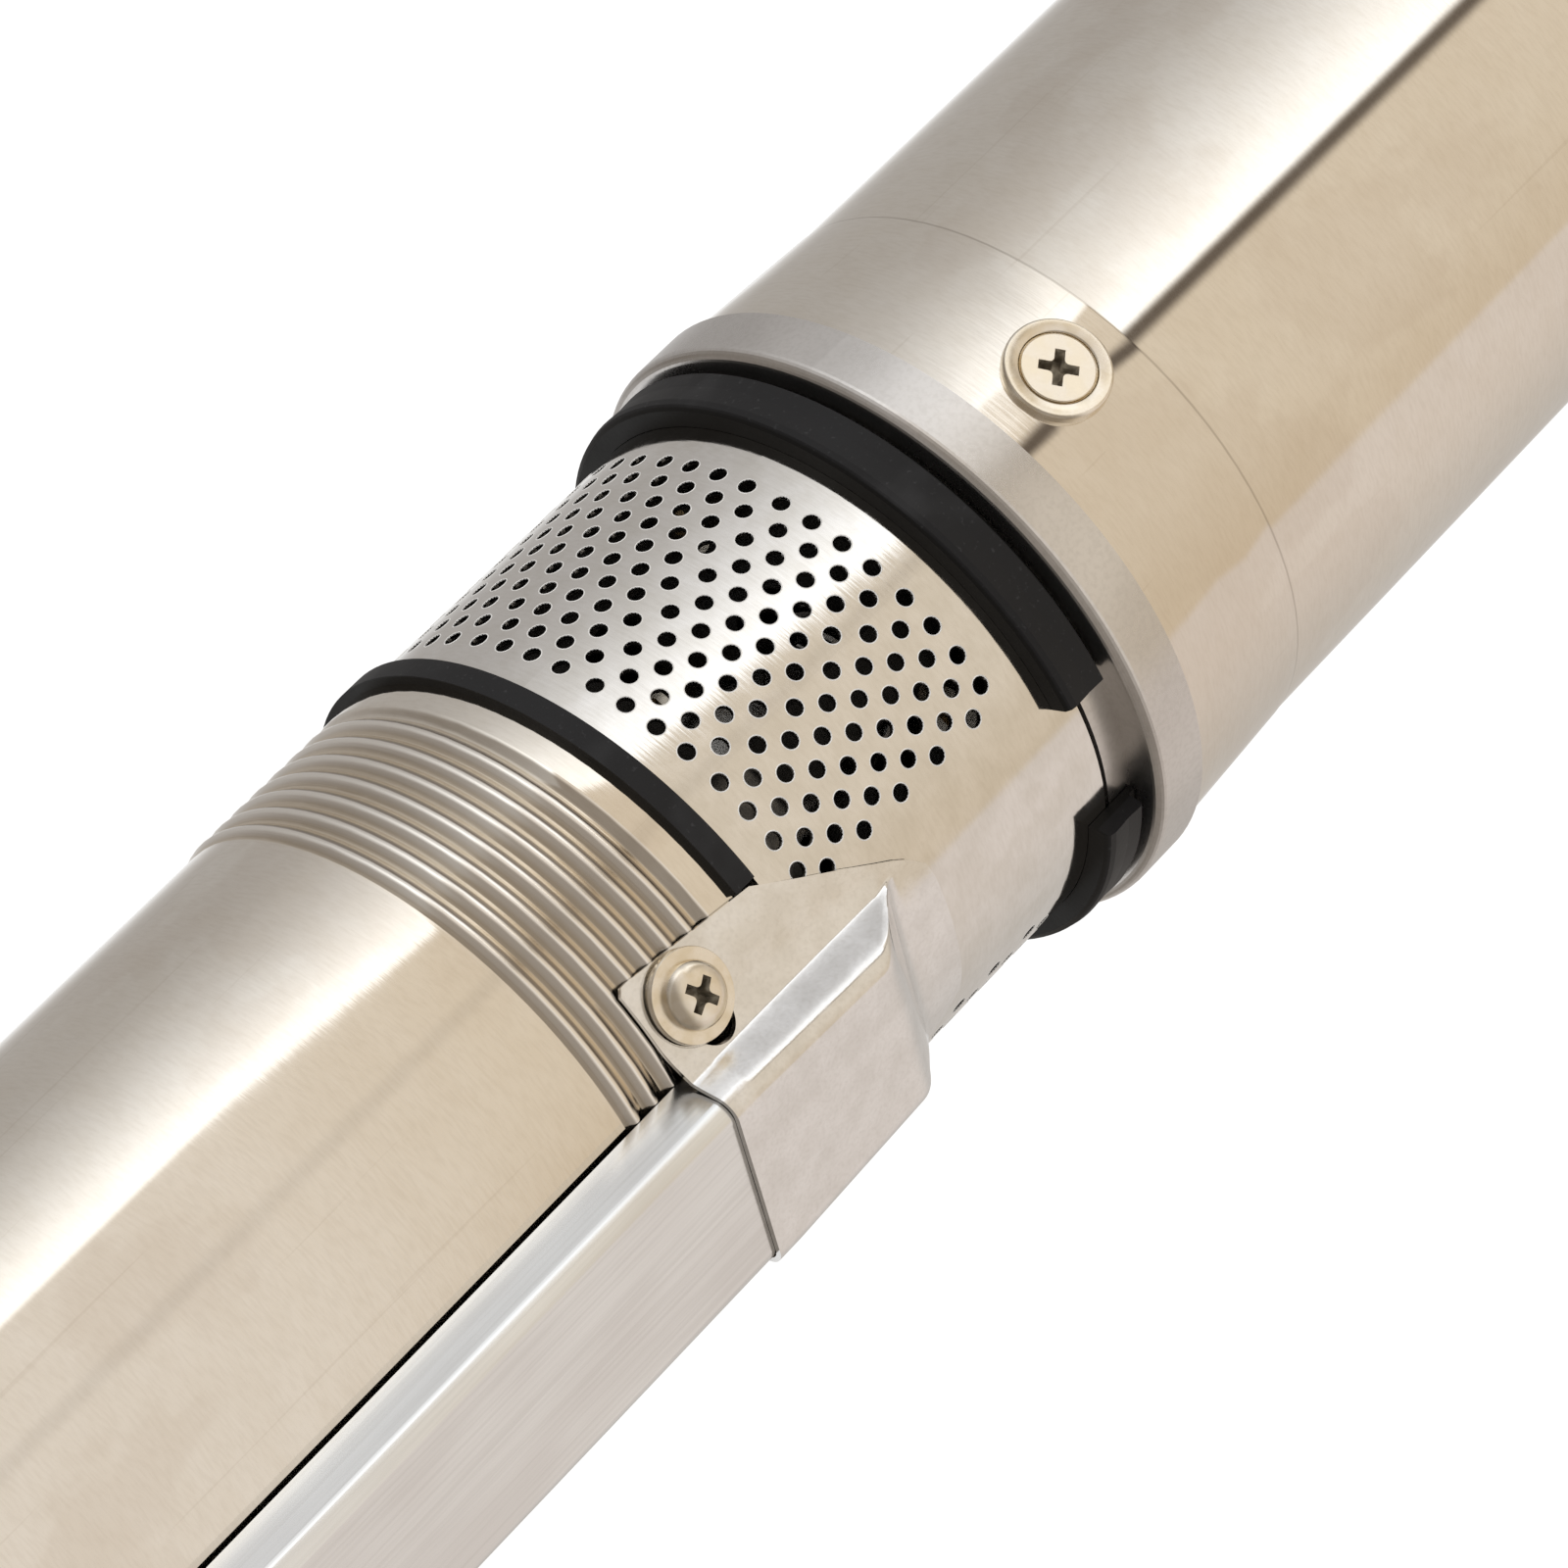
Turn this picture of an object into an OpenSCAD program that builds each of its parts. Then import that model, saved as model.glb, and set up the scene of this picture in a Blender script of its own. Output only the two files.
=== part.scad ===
// Borehole submersible pump: a multistage pump in a stainless tube, on top of its motor.
// The axis is Z, the outlet's mouth is at z = 0 and the motor hangs below it.
// The cable guard runs along the -Y side. All sizes are in millimetres.

/* [Pump tube] */
// Outside radius of the pump tube
tube_r = 38.8; // [37:0.1:41]
// Wall of the pump tube
tube_wall = 1.2; // [1:0.1:1.6]
// Height that the rolled ridges stand above the tube
ridge_rise = 0.55; // [0.3:0.05:0.8]
// Depth of the grooves between the ridges below the tube's face
ridge_root = 0.2; // [0.1:0.05:0.4]
// Distance from ridge to ridge
ridge_pitch = 3.26; // [3:0.01:3.6]
// Ridges at each end of the tube
ridge_count = 7; // [5:1:8]
// Length of the smooth band at each end of the tube
end_band = 5.4; // [4:0.1:7]

/* [Stages] */
// Number of pump stages
stages = 6; // [3:1:6]
// Height of one stage
stage_pitch = 26; // [25:0.5:32]
// Wall of a stage bowl
bowl_wall = 2.3; // [1.5:0.1:3]
// Thickness of a bowl's top plate
bowl_plate = 2.5; // [2:0.1:3]
// Height of the return vanes
vane_h = 8; // [6:0.5:8.5]
// Return vanes in each bowl
vane_count = 8; // [6:1:9]
// Outside radius of an impeller
impeller_r = 29; // [26:0.5:31]
// Radius of an impeller's suction eye
eye_r = 13; // [12.5:0.1:14]
// Blades of an impeller
blade_count = 6; // [5:1:7]
// Height of an impeller's blades
blade_h = 7; // [5:0.5:7.5]
// Thickness of shrouds, discs, vanes and blades
shroud_t = 1.5; // [1.2:0.1:1.8]
// Width of the hexagonal pump shaft across its flats
shaft_af = 12; // [11:0.5:12.5]
// Radius of the impeller hubs and of the shaft sleeve
hub_r = 8.5; // [8.2:0.1:9]
// Height of the top bearing spider
spider_h = 16; // [14:0.5:22]

/* [Discharge head] */
// Radius inside the outlet's pipe thread
outlet_r = 19.475; // [17:0.005:21]
// Depth of the outlet's pipe thread
outlet_depth = 22; // [18:0.5:24]
// Radius of the outlet neck
neck_r = 27; // [25.5:0.1:29]
// Height of the head above the tube
head_h = 62; // [60:0.5:75]
// Length of the head's spigot inside the tube
head_spigot = 34; // [32:0.5:40]
// Radius of the collar on the tube's end
collar_r = 39.4; // [38.8:0.1:39.6]
// Width across the two wrench flats
wrench_af = 48; // [46:0.5:50]
// Radius of a rope eye's hole
rope_eye_r = 4.25; // [3:0.05:5]
// Distance of a rope eye from the axis
rope_eye_x = 34; // [33.5:0.1:35]
// Thickness of a rope eye's lug
lug_t = 7; // [5:0.5:10]

/* [Check valve] */
// Radius of the valve chamber
chamber_r = 27; // [26:0.1:28]
// Radius of the water way through the valve seat
seat_bore = 16; // [15:0.1:17]
// Thickness of the valve seat ring
seat_t = 7; // [5:0.5:8]
// Radius of the valve disc
poppet_r = 20.5; // [19:0.1:21]
// Radius of the valve's stem
stem_r = 3; // [2.5:0.1:4]
// Way that the valve lifts off its seat
valve_lift = 10; // [6:0.5:12]
// Radius of the valve spring's wire
spring_wire = 0.7; // [0.5:0.05:0.9]
// Turns of the valve spring
spring_turns = 6; // [4:1:7]

/* [Strainer and inlet] */
// Outside radius of the strainer
strainer_r = 39.2; // [38.5:0.05:39.6]
// Sheet of the strainer
strainer_t = 0.8; // [0.6:0.05:1]
// Length of the strainer
strainer_len = 49.85; // [48:0.05:56]
// Diameter of a strainer hole
hole_d = 2.25; // [1.6:0.05:2.6]
// Distance between the rings of holes
hole_row_pitch = 3.457; // [3.2:0.001:3.6]
// Rings of holes
hole_rows = 11; // [6:1:11]
// Distance of the first ring of holes from the strainer's top
hole_margin = 5.15; // [4:0.05:6]
// Angle between neighbouring holes of a ring
hole_step = 6.78; // [6.6:0.02:6.9]
// Extra angle after each group of four holes
group_gap = 0.9; // [0:0.1:1]
// Holes of a ring on each side of the guard
hole_half = 22; // [12:1:22]
// Half of the angle without holes, at the guard
blank_half = 28; // [27:0.1:34]
// Thickness of the gasket between strainer and tube
gasket_t = 3.75; // [2:0.05:5]
// Rise of that gasket above the tube and the strainer
gasket_rise = 1.4; // [0.8:0.1:2.3]
// Length of the inlet casing's spigot inside the tube
inlet_spigot = 30; // [29:0.5:40]
// Thickness of the inlet casing's bottom flange
inlet_flange = 5; // [4:0.5:6]
// Height of the inlet casing's top ring below the gasket
inlet_ring_h = 10; // [8:0.5:12]
// Height of that ring's lip, which centres the strainer
inlet_lip = 3; // [2:0.1:3.8]
// Distance of the ring below its lip from the strainer
inlet_step = 5; // [3:0.1:8]
// Depth of the inlet casing's ring, outside to bore
inlet_depth = 14.35; // [13:0.05:15]
// Width of an inlet casing post
post_w = 9; // [7:0.5:10]
// Radius of the shaft coupling
coupling_r = 11; // [10:0.1:12.5]
// Length of the shaft coupling
coupling_len = 40; // [36:0.5:42]

/* [Cable guard] */
// Half of the channel's width
guard_half = 13.4; // [12:0.1:14]
// Rise of the channel's flat top above the tube
guard_rise = 6.4; // [5.8:0.1:8]
// Sheet of the channel and its foot
guard_t = 0.7; // [0.5:0.05:1]
// Round of the channel's edges
guard_round = 2.3; // [1.8:0.1:3]
// Distance of the foot's upper edge from the tube's lower end
foot_rise = 19.6; // [18:0.1:24]
// Length of the channel under the foot
foot_lap = 6; // [4:0.5:8]
// Half of the foot flange's width at its upper edge
foot_half = 25.5; // [25:0.1:27]
// Half of the foot flange's width at the gasket
foot_waist = 23.1; // [22:0.1:24]
// Half of the foot flange's width at its tip
foot_tip = 9.9; // [8:0.1:11]
// Distance of the tip from the strainer's top
foot_reach = 20.25; // [19:0.05:23]
// Distance of the hood's end from the strainer's top
hood_reach = 7.05; // [5:0.05:8]
// Angle of the guard's screws from its middle
screw_angle = 30.3; // [29.5:0.1:32]
// Distance of the guard's screws from the tube's end
screw_rise = 12.7; // [12:0.1:14]

/* [Motor] */
// Outside radius of the motor tube
motor_r = 42; // [41:0.1:44]
// Wall of the motor tube
motor_wall = 1; // [0.8:0.05:1.2]
// Length of the motor tube
motor_len = 300; // [260:1:420]
// Length of the tube's flared end
flare_len = 22.5; // [21:0.1:26]
// Rise of the flare where it starts
flare_step = 0.15; // [0.1:0.05:0.4]
// Rise of the flare at its mouth
flare_rise = 1.3; // [0.8:0.05:1.5]
// Rise of the bracket's rim above the motor tube
rim_rise = 2.2; // [1.8:0.1:3]
// Height of the bracket's rim
rim_h = 8.1; // [7:0.1:10]
// Round of the rim's edge
rim_round = 1.4; // [0.5:0.1:2]
// Height of the bracket's neck, which the rubber ring covers
neck_h = 4.1; // [3.5:0.1:6]
// Height of the rubber ring's lip above the strainer
ring_rise = 3.3; // [2.5:0.1:4]
// Angles at which the rubber ring's gap starts and ends
ring_gap = [-100.5, -71.9]; // [-120:0.1:-60]
// Distance of the bracket screws from the rim
cup_drop = 11.9; // [10:0.1:13]
// Radius of a cup washer
cup_r = 6.9; // [6.4:0.1:7.5]
// Height of a cup washer above the flare
cup_h = 1.5; // [1.2:0.1:3]
// Radius of the motor shaft at the rotor core
core_shaft_r = 10; // [9.5:0.1:11]
// Radius of the motor shaft at the coupling
end_shaft_r = 7; // [6:0.1:7.2]
// Radius of the rotor core
rotor_r = 21; // [19:0.1:22]
// Air gap between rotor and stator
air_gap = 0.5; // [0.3:0.05:0.8]
// Slots of the stator
slot_count = 24; // [12:12:24]
// Height of a winding head
winding_h = 28; // [20:1:36]
// Height of the base cap below the motor tube
base_h = 12; // [8:0.5:20]

/* [Bearings and fasteners] */
// Bore radius of a ball bearing
bearing_bore = 8.5; // [8.2:0.1:9]
// Outside radius of a ball bearing
bearing_r = 20; // [19:0.1:21]
// Width of a ball bearing
bearing_w = 12; // [11:0.5:14]
// Radius of a ball
ball_r = 3.4; // [3:0.1:3.6]
// Balls in a bearing
ball_count = 8; // [6:1:8]
// Radius of the M5 screws
m5_r = 2.5; // [2:0.05:2.6]
// Radius of the M6 bolts
m6_r = 3; // [2.5:0.05:3.2]

/* [Clearances] */
// Gap of a fixed fit
fit = 0.05; // [0.02:0.01:0.08]
// Radial gap of a running fit
running = 0.06; // [0.03:0.01:0.1]
// Gap between a ball and its track
ball_play = 0.15; // [0.1:0.01:0.2]
// Gap between the stage bowls and the tube
bowl_gap = 0.3; // [0.2:0.05:0.5]
// Gap between rotating and fixed pump parts
water_gap = 0.5; // [0.4:0.05:0.8]
// Gap between the guard and what it lies on
guard_gap = 0.1; // [0.05:0.01:0.2]
// Gap at the valve's seat
seat_gap = 0.05; // [0.02:0.01:0.1]

/* [Hidden] */
$fn = 64;

// Radii that follow from the driving sizes
tube_in = tube_r - tube_wall;
ridge_r = tube_r + ridge_rise;
guard_top = tube_r + guard_rise;
gasket_r = max(tube_r, strainer_r) + gasket_rise;
spigot_r = tube_in - fit;
gasket_seat = spigot_r - 1.2;
bowl_r = tube_in - bowl_gap;
bowl_in = bowl_r - bowl_wall;
casing_r = strainer_r - strainer_t - fit;
motor_in = motor_r - motor_wall;
rim_r = motor_r + rim_rise;
guard_seat = max(ridge_r, strainer_r) + guard_gap;
flange_r = guard_seat + guard_t;
stator_r = motor_in - fit;
stator_in = rotor_r + air_gap;
pitch_r = (bearing_bore + bearing_r) / 2;
neck_ring_r = eye_r + shroud_t;
plate_hole = neck_ring_r + water_gap;
seat_r = spigot_r - 4;

// Heights, from the outlet down
z_tube_top = -head_h;
z_spigot = z_tube_top - head_spigot;
z_spider = z_spigot - spider_h;
z_stage = z_spider - stages * stage_pitch;
z_tube_bot = z_stage - inlet_spigot;
z_strainer = z_tube_bot - gasket_t;
z_strainer_bot = z_strainer - strainer_len;
joint_gap = 0.7;
z_face = z_strainer_bot - joint_gap;
z_rim = z_face - neck_h;
z_rim_bot = z_rim - rim_h;
z_flare = z_rim_bot - flare_len;
z_motor_bot = z_rim_bot - motor_len;
z_base = z_motor_bot - base_h;

// Heights inside the head
z_chamber = -outlet_depth - 8;
z_seat = z_spigot + 20;
z_disc = z_seat + 6;
z_eye = z_chamber + 8;
guide_t = 4;
guide_hub_h = 12;
guide_hub_r = 9.5;
guide_nose_r = 5.5;
lift_stop = 0.3;
spring_r = 7.2;
poppet_boss = 11;
disc_rubber = 2;

// Heights inside the motor
seal_pocket = 17.5;
seal_pocket_r = 15;
web_t = 5;
z_upper_bearing = z_face - seal_pocket - web_t - bearing_w;
bracket_spigot = 6;
z_bracket_bot = z_flare - bracket_spigot;
cap_spigot = 12;
lower_bracket_h = 16;
z_lower_bracket = z_motor_bot + cap_spigot;
z_lower_top = z_lower_bracket + lower_bracket_h;
z_lower_bearing = z_lower_top - bearing_w;
winding_gap = 12;
z_core_top = z_bracket_bot - winding_gap - winding_h;
z_core_bot = z_lower_top + winding_gap + winding_h;

// Coupling and shafts
shaft_end_up = 27.5;
z_shaft_top = z_face + shaft_end_up;
coupling_hold = 18;
z_coupling = z_shaft_top - coupling_hold;
z_sleeve_top = z_spigot + 1;
impeller_drop = 4;
nut_h = 6.5;
washer_t = 1.5;
stub_r = 4;
bush_t = 2.5;
key_w = 4;
key_len = 14;

// Countersunk heads of the bracket screws
screw_head_r = 4.8;
screw_head_h = cup_h - 0.25;
screw_depth = 10;

// Angles round the axis
guard_angle = -90;
cup_angles = [-30, 90, 210];
post_angles = [45, 135, 225, 315];
bolt_angles = [25, 115, 205, 295];
bolt_circle = casing_r - 8.35;
gland_circle = casing_r - 11.35;
gland_r = 5.5;
bolt_reach = 11;
base_angles = [30, 150, 270];
base_circle = 31;
screw_ends = [z_tube_bot + screw_rise, z_tube_top - screw_rise];

// A ring round the axis with square edges
module ring(inner, outer, z, h) {
    rotate_extrude() translate([inner, z]) square([outer - inner, h]);
}

// A bar that points away from the axis at an angle and a height
module radial(angle, z, r) {
    rotate([0, 0, angle]) translate([r, 0, z]) rotate([0, 90, 0]) children();
}

// A hexagonal bar with a given width across its flats
module hex_bar(af, z, h) {
    translate([0, 0, z]) cylinder(r = af / sqrt(3), h = h, $fn = 6);
}

// Outline of a blade that winds from one radius to another as a spiral
function blade_side(r0, r1, wrap, half, side) =
    [for (i = [0:6]) let (r = r0 + (r1 - r0) * i / 6, a = wrap * ln(r / r0) / ln(r1 / r0))
        [r * cos(a) - side * half * sin(a), r * sin(a) + side * half * cos(a)]];
function flip(list) = [for (i = [len(list) - 1:-1:0]) list[i]];

module blades(count, r0, r1, wrap, thick, z, h) {
    for (i = [0:count - 1])
        rotate([0, 0, 360 * i / count]) translate([0, 0, z]) linear_extrude(h)
            polygon(concat(blade_side(r0, r1, wrap, thick / 2, -1), flip(blade_side(r0, r1, wrap,
                thick / 2, 1))));
}

// A helical wire with closed ends, as one swept body
module coil(radius, wire, z, h, turns, steps = 20, sides = 8) {
    count = turns * steps;
    points = [for (i = [0:count], k = [0:sides - 1])
        let (a = 360 * i / steps, b = 360 * k / sides, r = radius + wire * cos(b))
            [r * cos(a), r * sin(a), z + wire + (h - 2 * wire) * i / count + wire * sin(b)]];
    walls = [for (i = [0:count - 1], k = [0:sides - 1])
        let (n = (k + 1) % sides)
            [i * sides + k, i * sides + n, (i + 1) * sides + n, (i + 1) * sides + k]];
    first = [for (k = [sides - 1:-1:0]) k];
    last = [for (k = [0:sides - 1]) count * sides + k];
    polyhedron(points, concat([first, last], walls));
}

// Cross recess of a screw, pressed down from z = 0
module cross_recess(size, depth) {
    for (a = [0, 90]) rotate([0, 0, a])
        translate([-size / 2, -size / 9, -depth]) cube([size, size * 2 / 9, depth + 1]);
}

// Discharge head: threaded neck, rope eyes and a spigot that screws into the tube
module discharge_head() {
    collar_h = 7;
    shoulder_r = chamber_r + 6;
    flat_h = 16;
    color("silver") difference() {
        union() {
            rotate_extrude() polygon([
                [0, z_spigot], [spigot_r, z_spigot], [spigot_r, z_tube_top], [collar_r, z_tube_top],
                [collar_r, z_tube_top + collar_h], [collar_r - 1, z_tube_top + collar_h + 1],
                [shoulder_r, z_chamber + 2], [neck_r, z_chamber + 10], [neck_r, 0], [0, 0]]);
            for (side = [-1, 1]) rope_lug(side);
        }
        translate([0, 0, -outlet_depth]) cylinder(r = outlet_r, h = outlet_depth + 1);
        translate([0, 0, z_chamber - 1]) cylinder(r = outlet_r - 1.5, h = -z_chamber);
        translate([0, 0, z_seat - 1]) cylinder(r = chamber_r, h = z_chamber - z_seat + 1);
        translate([0, 0, z_spigot - 1]) cylinder(r = seat_r, h = z_seat - z_spigot + 1);
        ring(seat_r - 1, seat_r + 1.5, z_seat - seat_t - 1.6, 1.6);
        for (side = [-1, 1]) {
            translate([-neck_r, side * (wrench_af / 2 + neck_r) - neck_r, -flat_h])
                cube([2 * neck_r, 2 * neck_r, flat_h + 1]);
            translate([side * rope_eye_x, 0, z_eye]) rotate([90, 0, 0])
                cylinder(r = rope_eye_r, h = 4 * lug_t, center = true);
            radial(guard_angle + side * screw_angle, screw_ends[1], spigot_r - 6)
                cylinder(r = m5_r + fit, h = 8);
        }
    }
}

// Lug of a rope eye on the neck
module rope_lug(side) {
    lug_r = rope_eye_r + 3.5;
    root = neck_r - 2;
    mirror([side > 0 ? 0 : 1, 0, 0]) {
        translate([rope_eye_x, lug_t / 2, z_eye]) rotate([90, 0, 0]) cylinder(r = lug_r, h = lug_t);
        translate([root, -lug_t / 2, z_eye - lug_r]) cube([rope_eye_x - root, lug_t, 2 * lug_r]);
    }
}

// Ring with the valve's sealing face
module valve_seat() {
    color("goldenrod") rotate_extrude() polygon([
        [seat_bore, z_seat - seat_t + 2], [seat_bore + 2, z_seat - seat_t], [seat_r - fit, z_seat - seat_t],
        [seat_r - fit, z_seat], [seat_bore, z_seat]]);
}

// Split ring that holds the seat
module seat_circlip() {
    color("dimgray") rotate([0, 0, 15]) rotate_extrude(angle = 330)
        translate([seat_r - 2, z_seat - seat_t - 1.5]) square([3, 1.5 - fit]);
}

// Three-armed guide for the valve's stem, whose nose stops the valve at its full lift
module valve_guide() {
    rim = 3.5;
    arm_w = 4;
    arm_t = guide_t - 1;
    z_nose = z_disc + valve_lift + lift_stop;
    z_hub = z_chamber - guide_hub_h;
    color("goldenrod") union() {
        ring(chamber_r - rim, chamber_r - fit, z_chamber - guide_t, guide_t);
        rotate_extrude() polygon([
            [stem_r + running, z_nose], [guide_nose_r, z_nose], [guide_nose_r, z_hub], [guide_hub_r, z_hub],
            [guide_hub_r, z_chamber - 0.2], [stem_r + running, z_chamber - 0.2]]);
        for (a = [90, 210, 330]) rotate([0, 0, a]) translate([guide_hub_r - 1, -arm_w / 2,
            z_chamber - guide_t + 0.5])
            cube([chamber_r - rim - guide_hub_r + 2, arm_w, arm_t]);
    }
}

// Closing spring between the valve disc and the guide
module valve_spring() {
    low = z_disc + 0.2;
    high = z_chamber - guide_hub_h - 0.2;
    color("gray") coil(spring_r, spring_wire, low, high - low, spring_turns);
}

// Mushroom-shaped valve
module valve_poppet() {
    nose = 4;
    z_under = z_seat + seat_gap + disc_rubber;
    color("goldenrod") rotate_extrude() polygon([
        [0, z_seat - nose], [poppet_boss - 2, z_seat - nose], [poppet_boss, z_seat - nose + 2],
        [poppet_boss, z_under],
        [poppet_r, z_under], [poppet_r, z_disc - 1], [poppet_r - 1, z_disc], [stem_r, z_disc],
        [stem_r, z_chamber - 3], [0, z_chamber - 3]]);
}

// Rubber washer under the valve disc
module valve_washer() {
    color("#1c1c1c") ring(poppet_boss + fit, poppet_r, z_seat + seat_gap, disc_rubber);
}

// Pump tube with rolled ridges at both ends
module pump_tube() {
    length = z_tube_top - z_tube_bot;
    steps = 12;
    last = steps * (ridge_count + 0.5);
    groove = tube_r - ridge_root;
    ridges = end_band + ridge_pitch * ridge_count;
    wave = [for (i = [0:last])
        [groove + (ridge_r - groove) * pow((1 + cos(360 * i / steps)) / 2, 0.8),
            end_band + ridge_pitch * (i / steps - 0.5)]];
    color("silver") difference() {
        rotate_extrude() translate([0, z_tube_bot]) polygon(concat(
            [[tube_in, 0], [ridge_r, 0]], wave, [[tube_r, ridges], [tube_r, length - ridges]],
            [for (i = [last:-1:0]) [wave[i][0], length - wave[i][1]]], [[ridge_r, length], [tube_in,
                length]]));
        guard_screw_holes(m5_r + fit);
    }
}

// Holes through which the guard's screws pass
module guard_screw_holes(r) {
    for (z = screw_ends, side = [-1, 1])
        radial(guard_angle + side * screw_angle, z, tube_in - 3) cylinder(r = r, h = 12);
}

// Section of the guard's channel, grown outwards by an amount
module guard_section(grow) {
    half = guard_half + grow;
    top = guard_top + grow;
    edge = max(guard_round + grow, 0.5);
    translate([-half, -top + edge]) square([2 * half, top - edge - tube_r / 2]);
    translate([-half + edge, -top]) square([2 * (half - edge), edge * 2]);
    for (side = [-1, 1]) translate([side * (half - edge), -top + edge]) circle(r = edge);
}

// Pressed channel that covers the cable, with two ears at its top
module cable_guard() {
    low = z_tube_bot + foot_rise - foot_lap;
    high = z_tube_top - 2;
    ear_h = 2 * (screw_rise - 2);
    ear_out = 7.5;
    color("silver") difference() {
        union() {
            translate([0, 0, low]) linear_extrude(high - low) difference() {
                guard_section(0);
                guard_section(-guard_t);
            }
            intersection() {
                ring(guard_seat, flange_r, high - ear_h, ear_h);
                ears(high - ear_h - 1, ear_h + 2, ear_out);
            }
        }
        translate([0, 0, low - 1]) cylinder(r = guard_seat, h = high - low + 2);
        guard_screw_holes(m5_r + fit);
    }
}

// Two blocks beside the channel that bound its ears
module ears(z, h, out) {
    reach = flange_r * sin(screw_angle) + out;
    for (side = [-1, 1])
        translate([side > 0 ? guard_half - guard_t : -reach, -guard_top, z])
            cube([reach - guard_half + guard_t, guard_top - tube_r / 2, h]);
}

// Hood of the guard's foot, grown outwards by an amount
module hood(grow) {
    lap = guard_gap + guard_t + grow;
    half = guard_half + lap;
    top = guard_top + lap;
    edge = guard_round + lap;
    plan = 7 + grow;
    z_top = z_tube_bot + foot_rise;
    z_end = z_strainer - hood_reach;
    slope = 1.55;
    deep = tube_r * 0.8;
    hull() {
        for (side = [-1, 1]) {
            translate([side * (half - edge), -top + edge, z_end + edge / 2]) {
                cylinder(r = edge, h = z_top - z_end - edge / 2 + (grow < 0 ? 1 : 0), $fn = 32);
                sphere(r = edge, $fn = 32);
            }
            translate([side * (half - plan), -deep, z_end - slope * (top - deep) + plan + edge])
                rotate([90, 0, 0]) cylinder(r = plan, h = 1, $fn = 32);
            translate([side * (half - 0.5) - 0.5, -deep - 1, z_top - 1]) cube([1, 1, grow < 0 ? 2 : 1]);
        }
    }
}

// Outline of the foot's flange, seen from the guard's side
module foot_outline() {
    z_top = z_tube_bot + foot_rise;
    z_tip = z_strainer - foot_reach;
    bend = [foot_tip + 2.6, z_tip + 2];
    polygon([[-foot_half, z_top], [-foot_waist, z_strainer], [-bend[0], bend[1]], [-foot_tip, z_tip],
        [foot_tip, z_tip], [bend[0], bend[1]], [foot_waist, z_strainer], [foot_half, z_top]]);
}

// Drawn foot that closes the channel over the strainer
module guard_foot() {
    color("silver") difference() {
        union() {
            intersection() {
                ring(guard_seat, flange_r, z_strainer - foot_reach - 1,
                    foot_reach + foot_rise + gasket_t + 2);
                rotate([90, 0, 0]) linear_extrude(2 * tube_r) foot_outline();
            }
            hood(0);
        }
        hood(-guard_t);
        translate([0, 0, z_strainer_bot])
            cylinder(r = guard_seat, h = strainer_len + gasket_t + foot_rise + 1);
        guard_screw_holes(m5_r + fit);
    }
}

// Washer-head screws of the foot and of the channel's ears
module guard_screws() {
    washer_r = 5.75;
    dome_r = 4.15;
    dome_h = 2.6;
    reach = flange_r - spigot_r + 3.5;
    color("gainsboro") for (z = screw_ends, side = [-1, 1])
        radial(guard_angle + side * screw_angle, z, flange_r + fit) rotate([0, 0, 20]) difference() {
            union() {
                translate([0, 0, 0.45]) cylinder(r = washer_r, h = 1);
                translate([0, 0, -reach]) cylinder(r = m5_r, h = reach + 1);
                intersection() {
                    translate([0, 0, 1]) cylinder(r = dome_r, h = dome_h);
                    translate([0, 0, 1 + dome_h - 6]) sphere(r = 6);
                }
            }
            translate([0, 0, 1 + dome_h]) cross_recess(5, 2);
        }
}

// Top bearing's carrier, between the last stage and the head
module bearing_spider() {
    hub = hub_r + running + 6;
    color("lightgray") difference() {
        union() {
            ring(bowl_in, bowl_r, z_spider, spider_h);
            translate([0, 0, z_spider + 2]) cylinder(r = hub, h = spider_h - 2);
            for (a = [30, 150, 270]) rotate([0, 0, a])
                translate([0, -2.5, z_spider + 4]) cube([bowl_in + 0.5, 5, spider_h - 4]);
        }
        translate([0, 0, z_spider]) cylinder(r = hub_r + running + bush_t + fit, h = spider_h + 1);
    }
}

// Rubber bush of the top bearing
module top_bush() {
    color("#202020") ring(hub_r + running, hub_r + running + bush_t, z_spider + 2, spider_h - 2);
}

// Sleeve on the shaft that runs in the top bush
module top_sleeve() {
    low = z_spider - impeller_drop;
    color("lightgray") difference() {
        translate([0, 0, low]) cylinder(r = hub_r, h = z_sleeve_top - low);
        hex_bar(shaft_af + 2 * fit, low - 1, z_sleeve_top - low + 2);
    }
}

// Nut and washer that clamp the impellers on the shaft
module shaft_nut() {
    color("gainsboro") difference() {
        union() {
            translate([0, 0, z_sleeve_top]) cylinder(r = hub_r, h = washer_t);
            hex_bar(13, z_sleeve_top + washer_t - 0.5, nut_h + 0.5);
        }
        translate([0, 0, z_sleeve_top - 1]) cylinder(r = stub_r + fit, h = nut_h + washer_t + 2);
    }
}

// Hexagonal pump shaft with a threaded top end
module pump_shaft() {
    low = z_shaft_top + 1;
    color("silver") union() {
        hex_bar(shaft_af, low, z_sleeve_top - 0.5 - low);
        translate([0, 0, z_sleeve_top - 1]) cylinder(r = stub_r, h = nut_h + washer_t + 2);
    }
}

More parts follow.
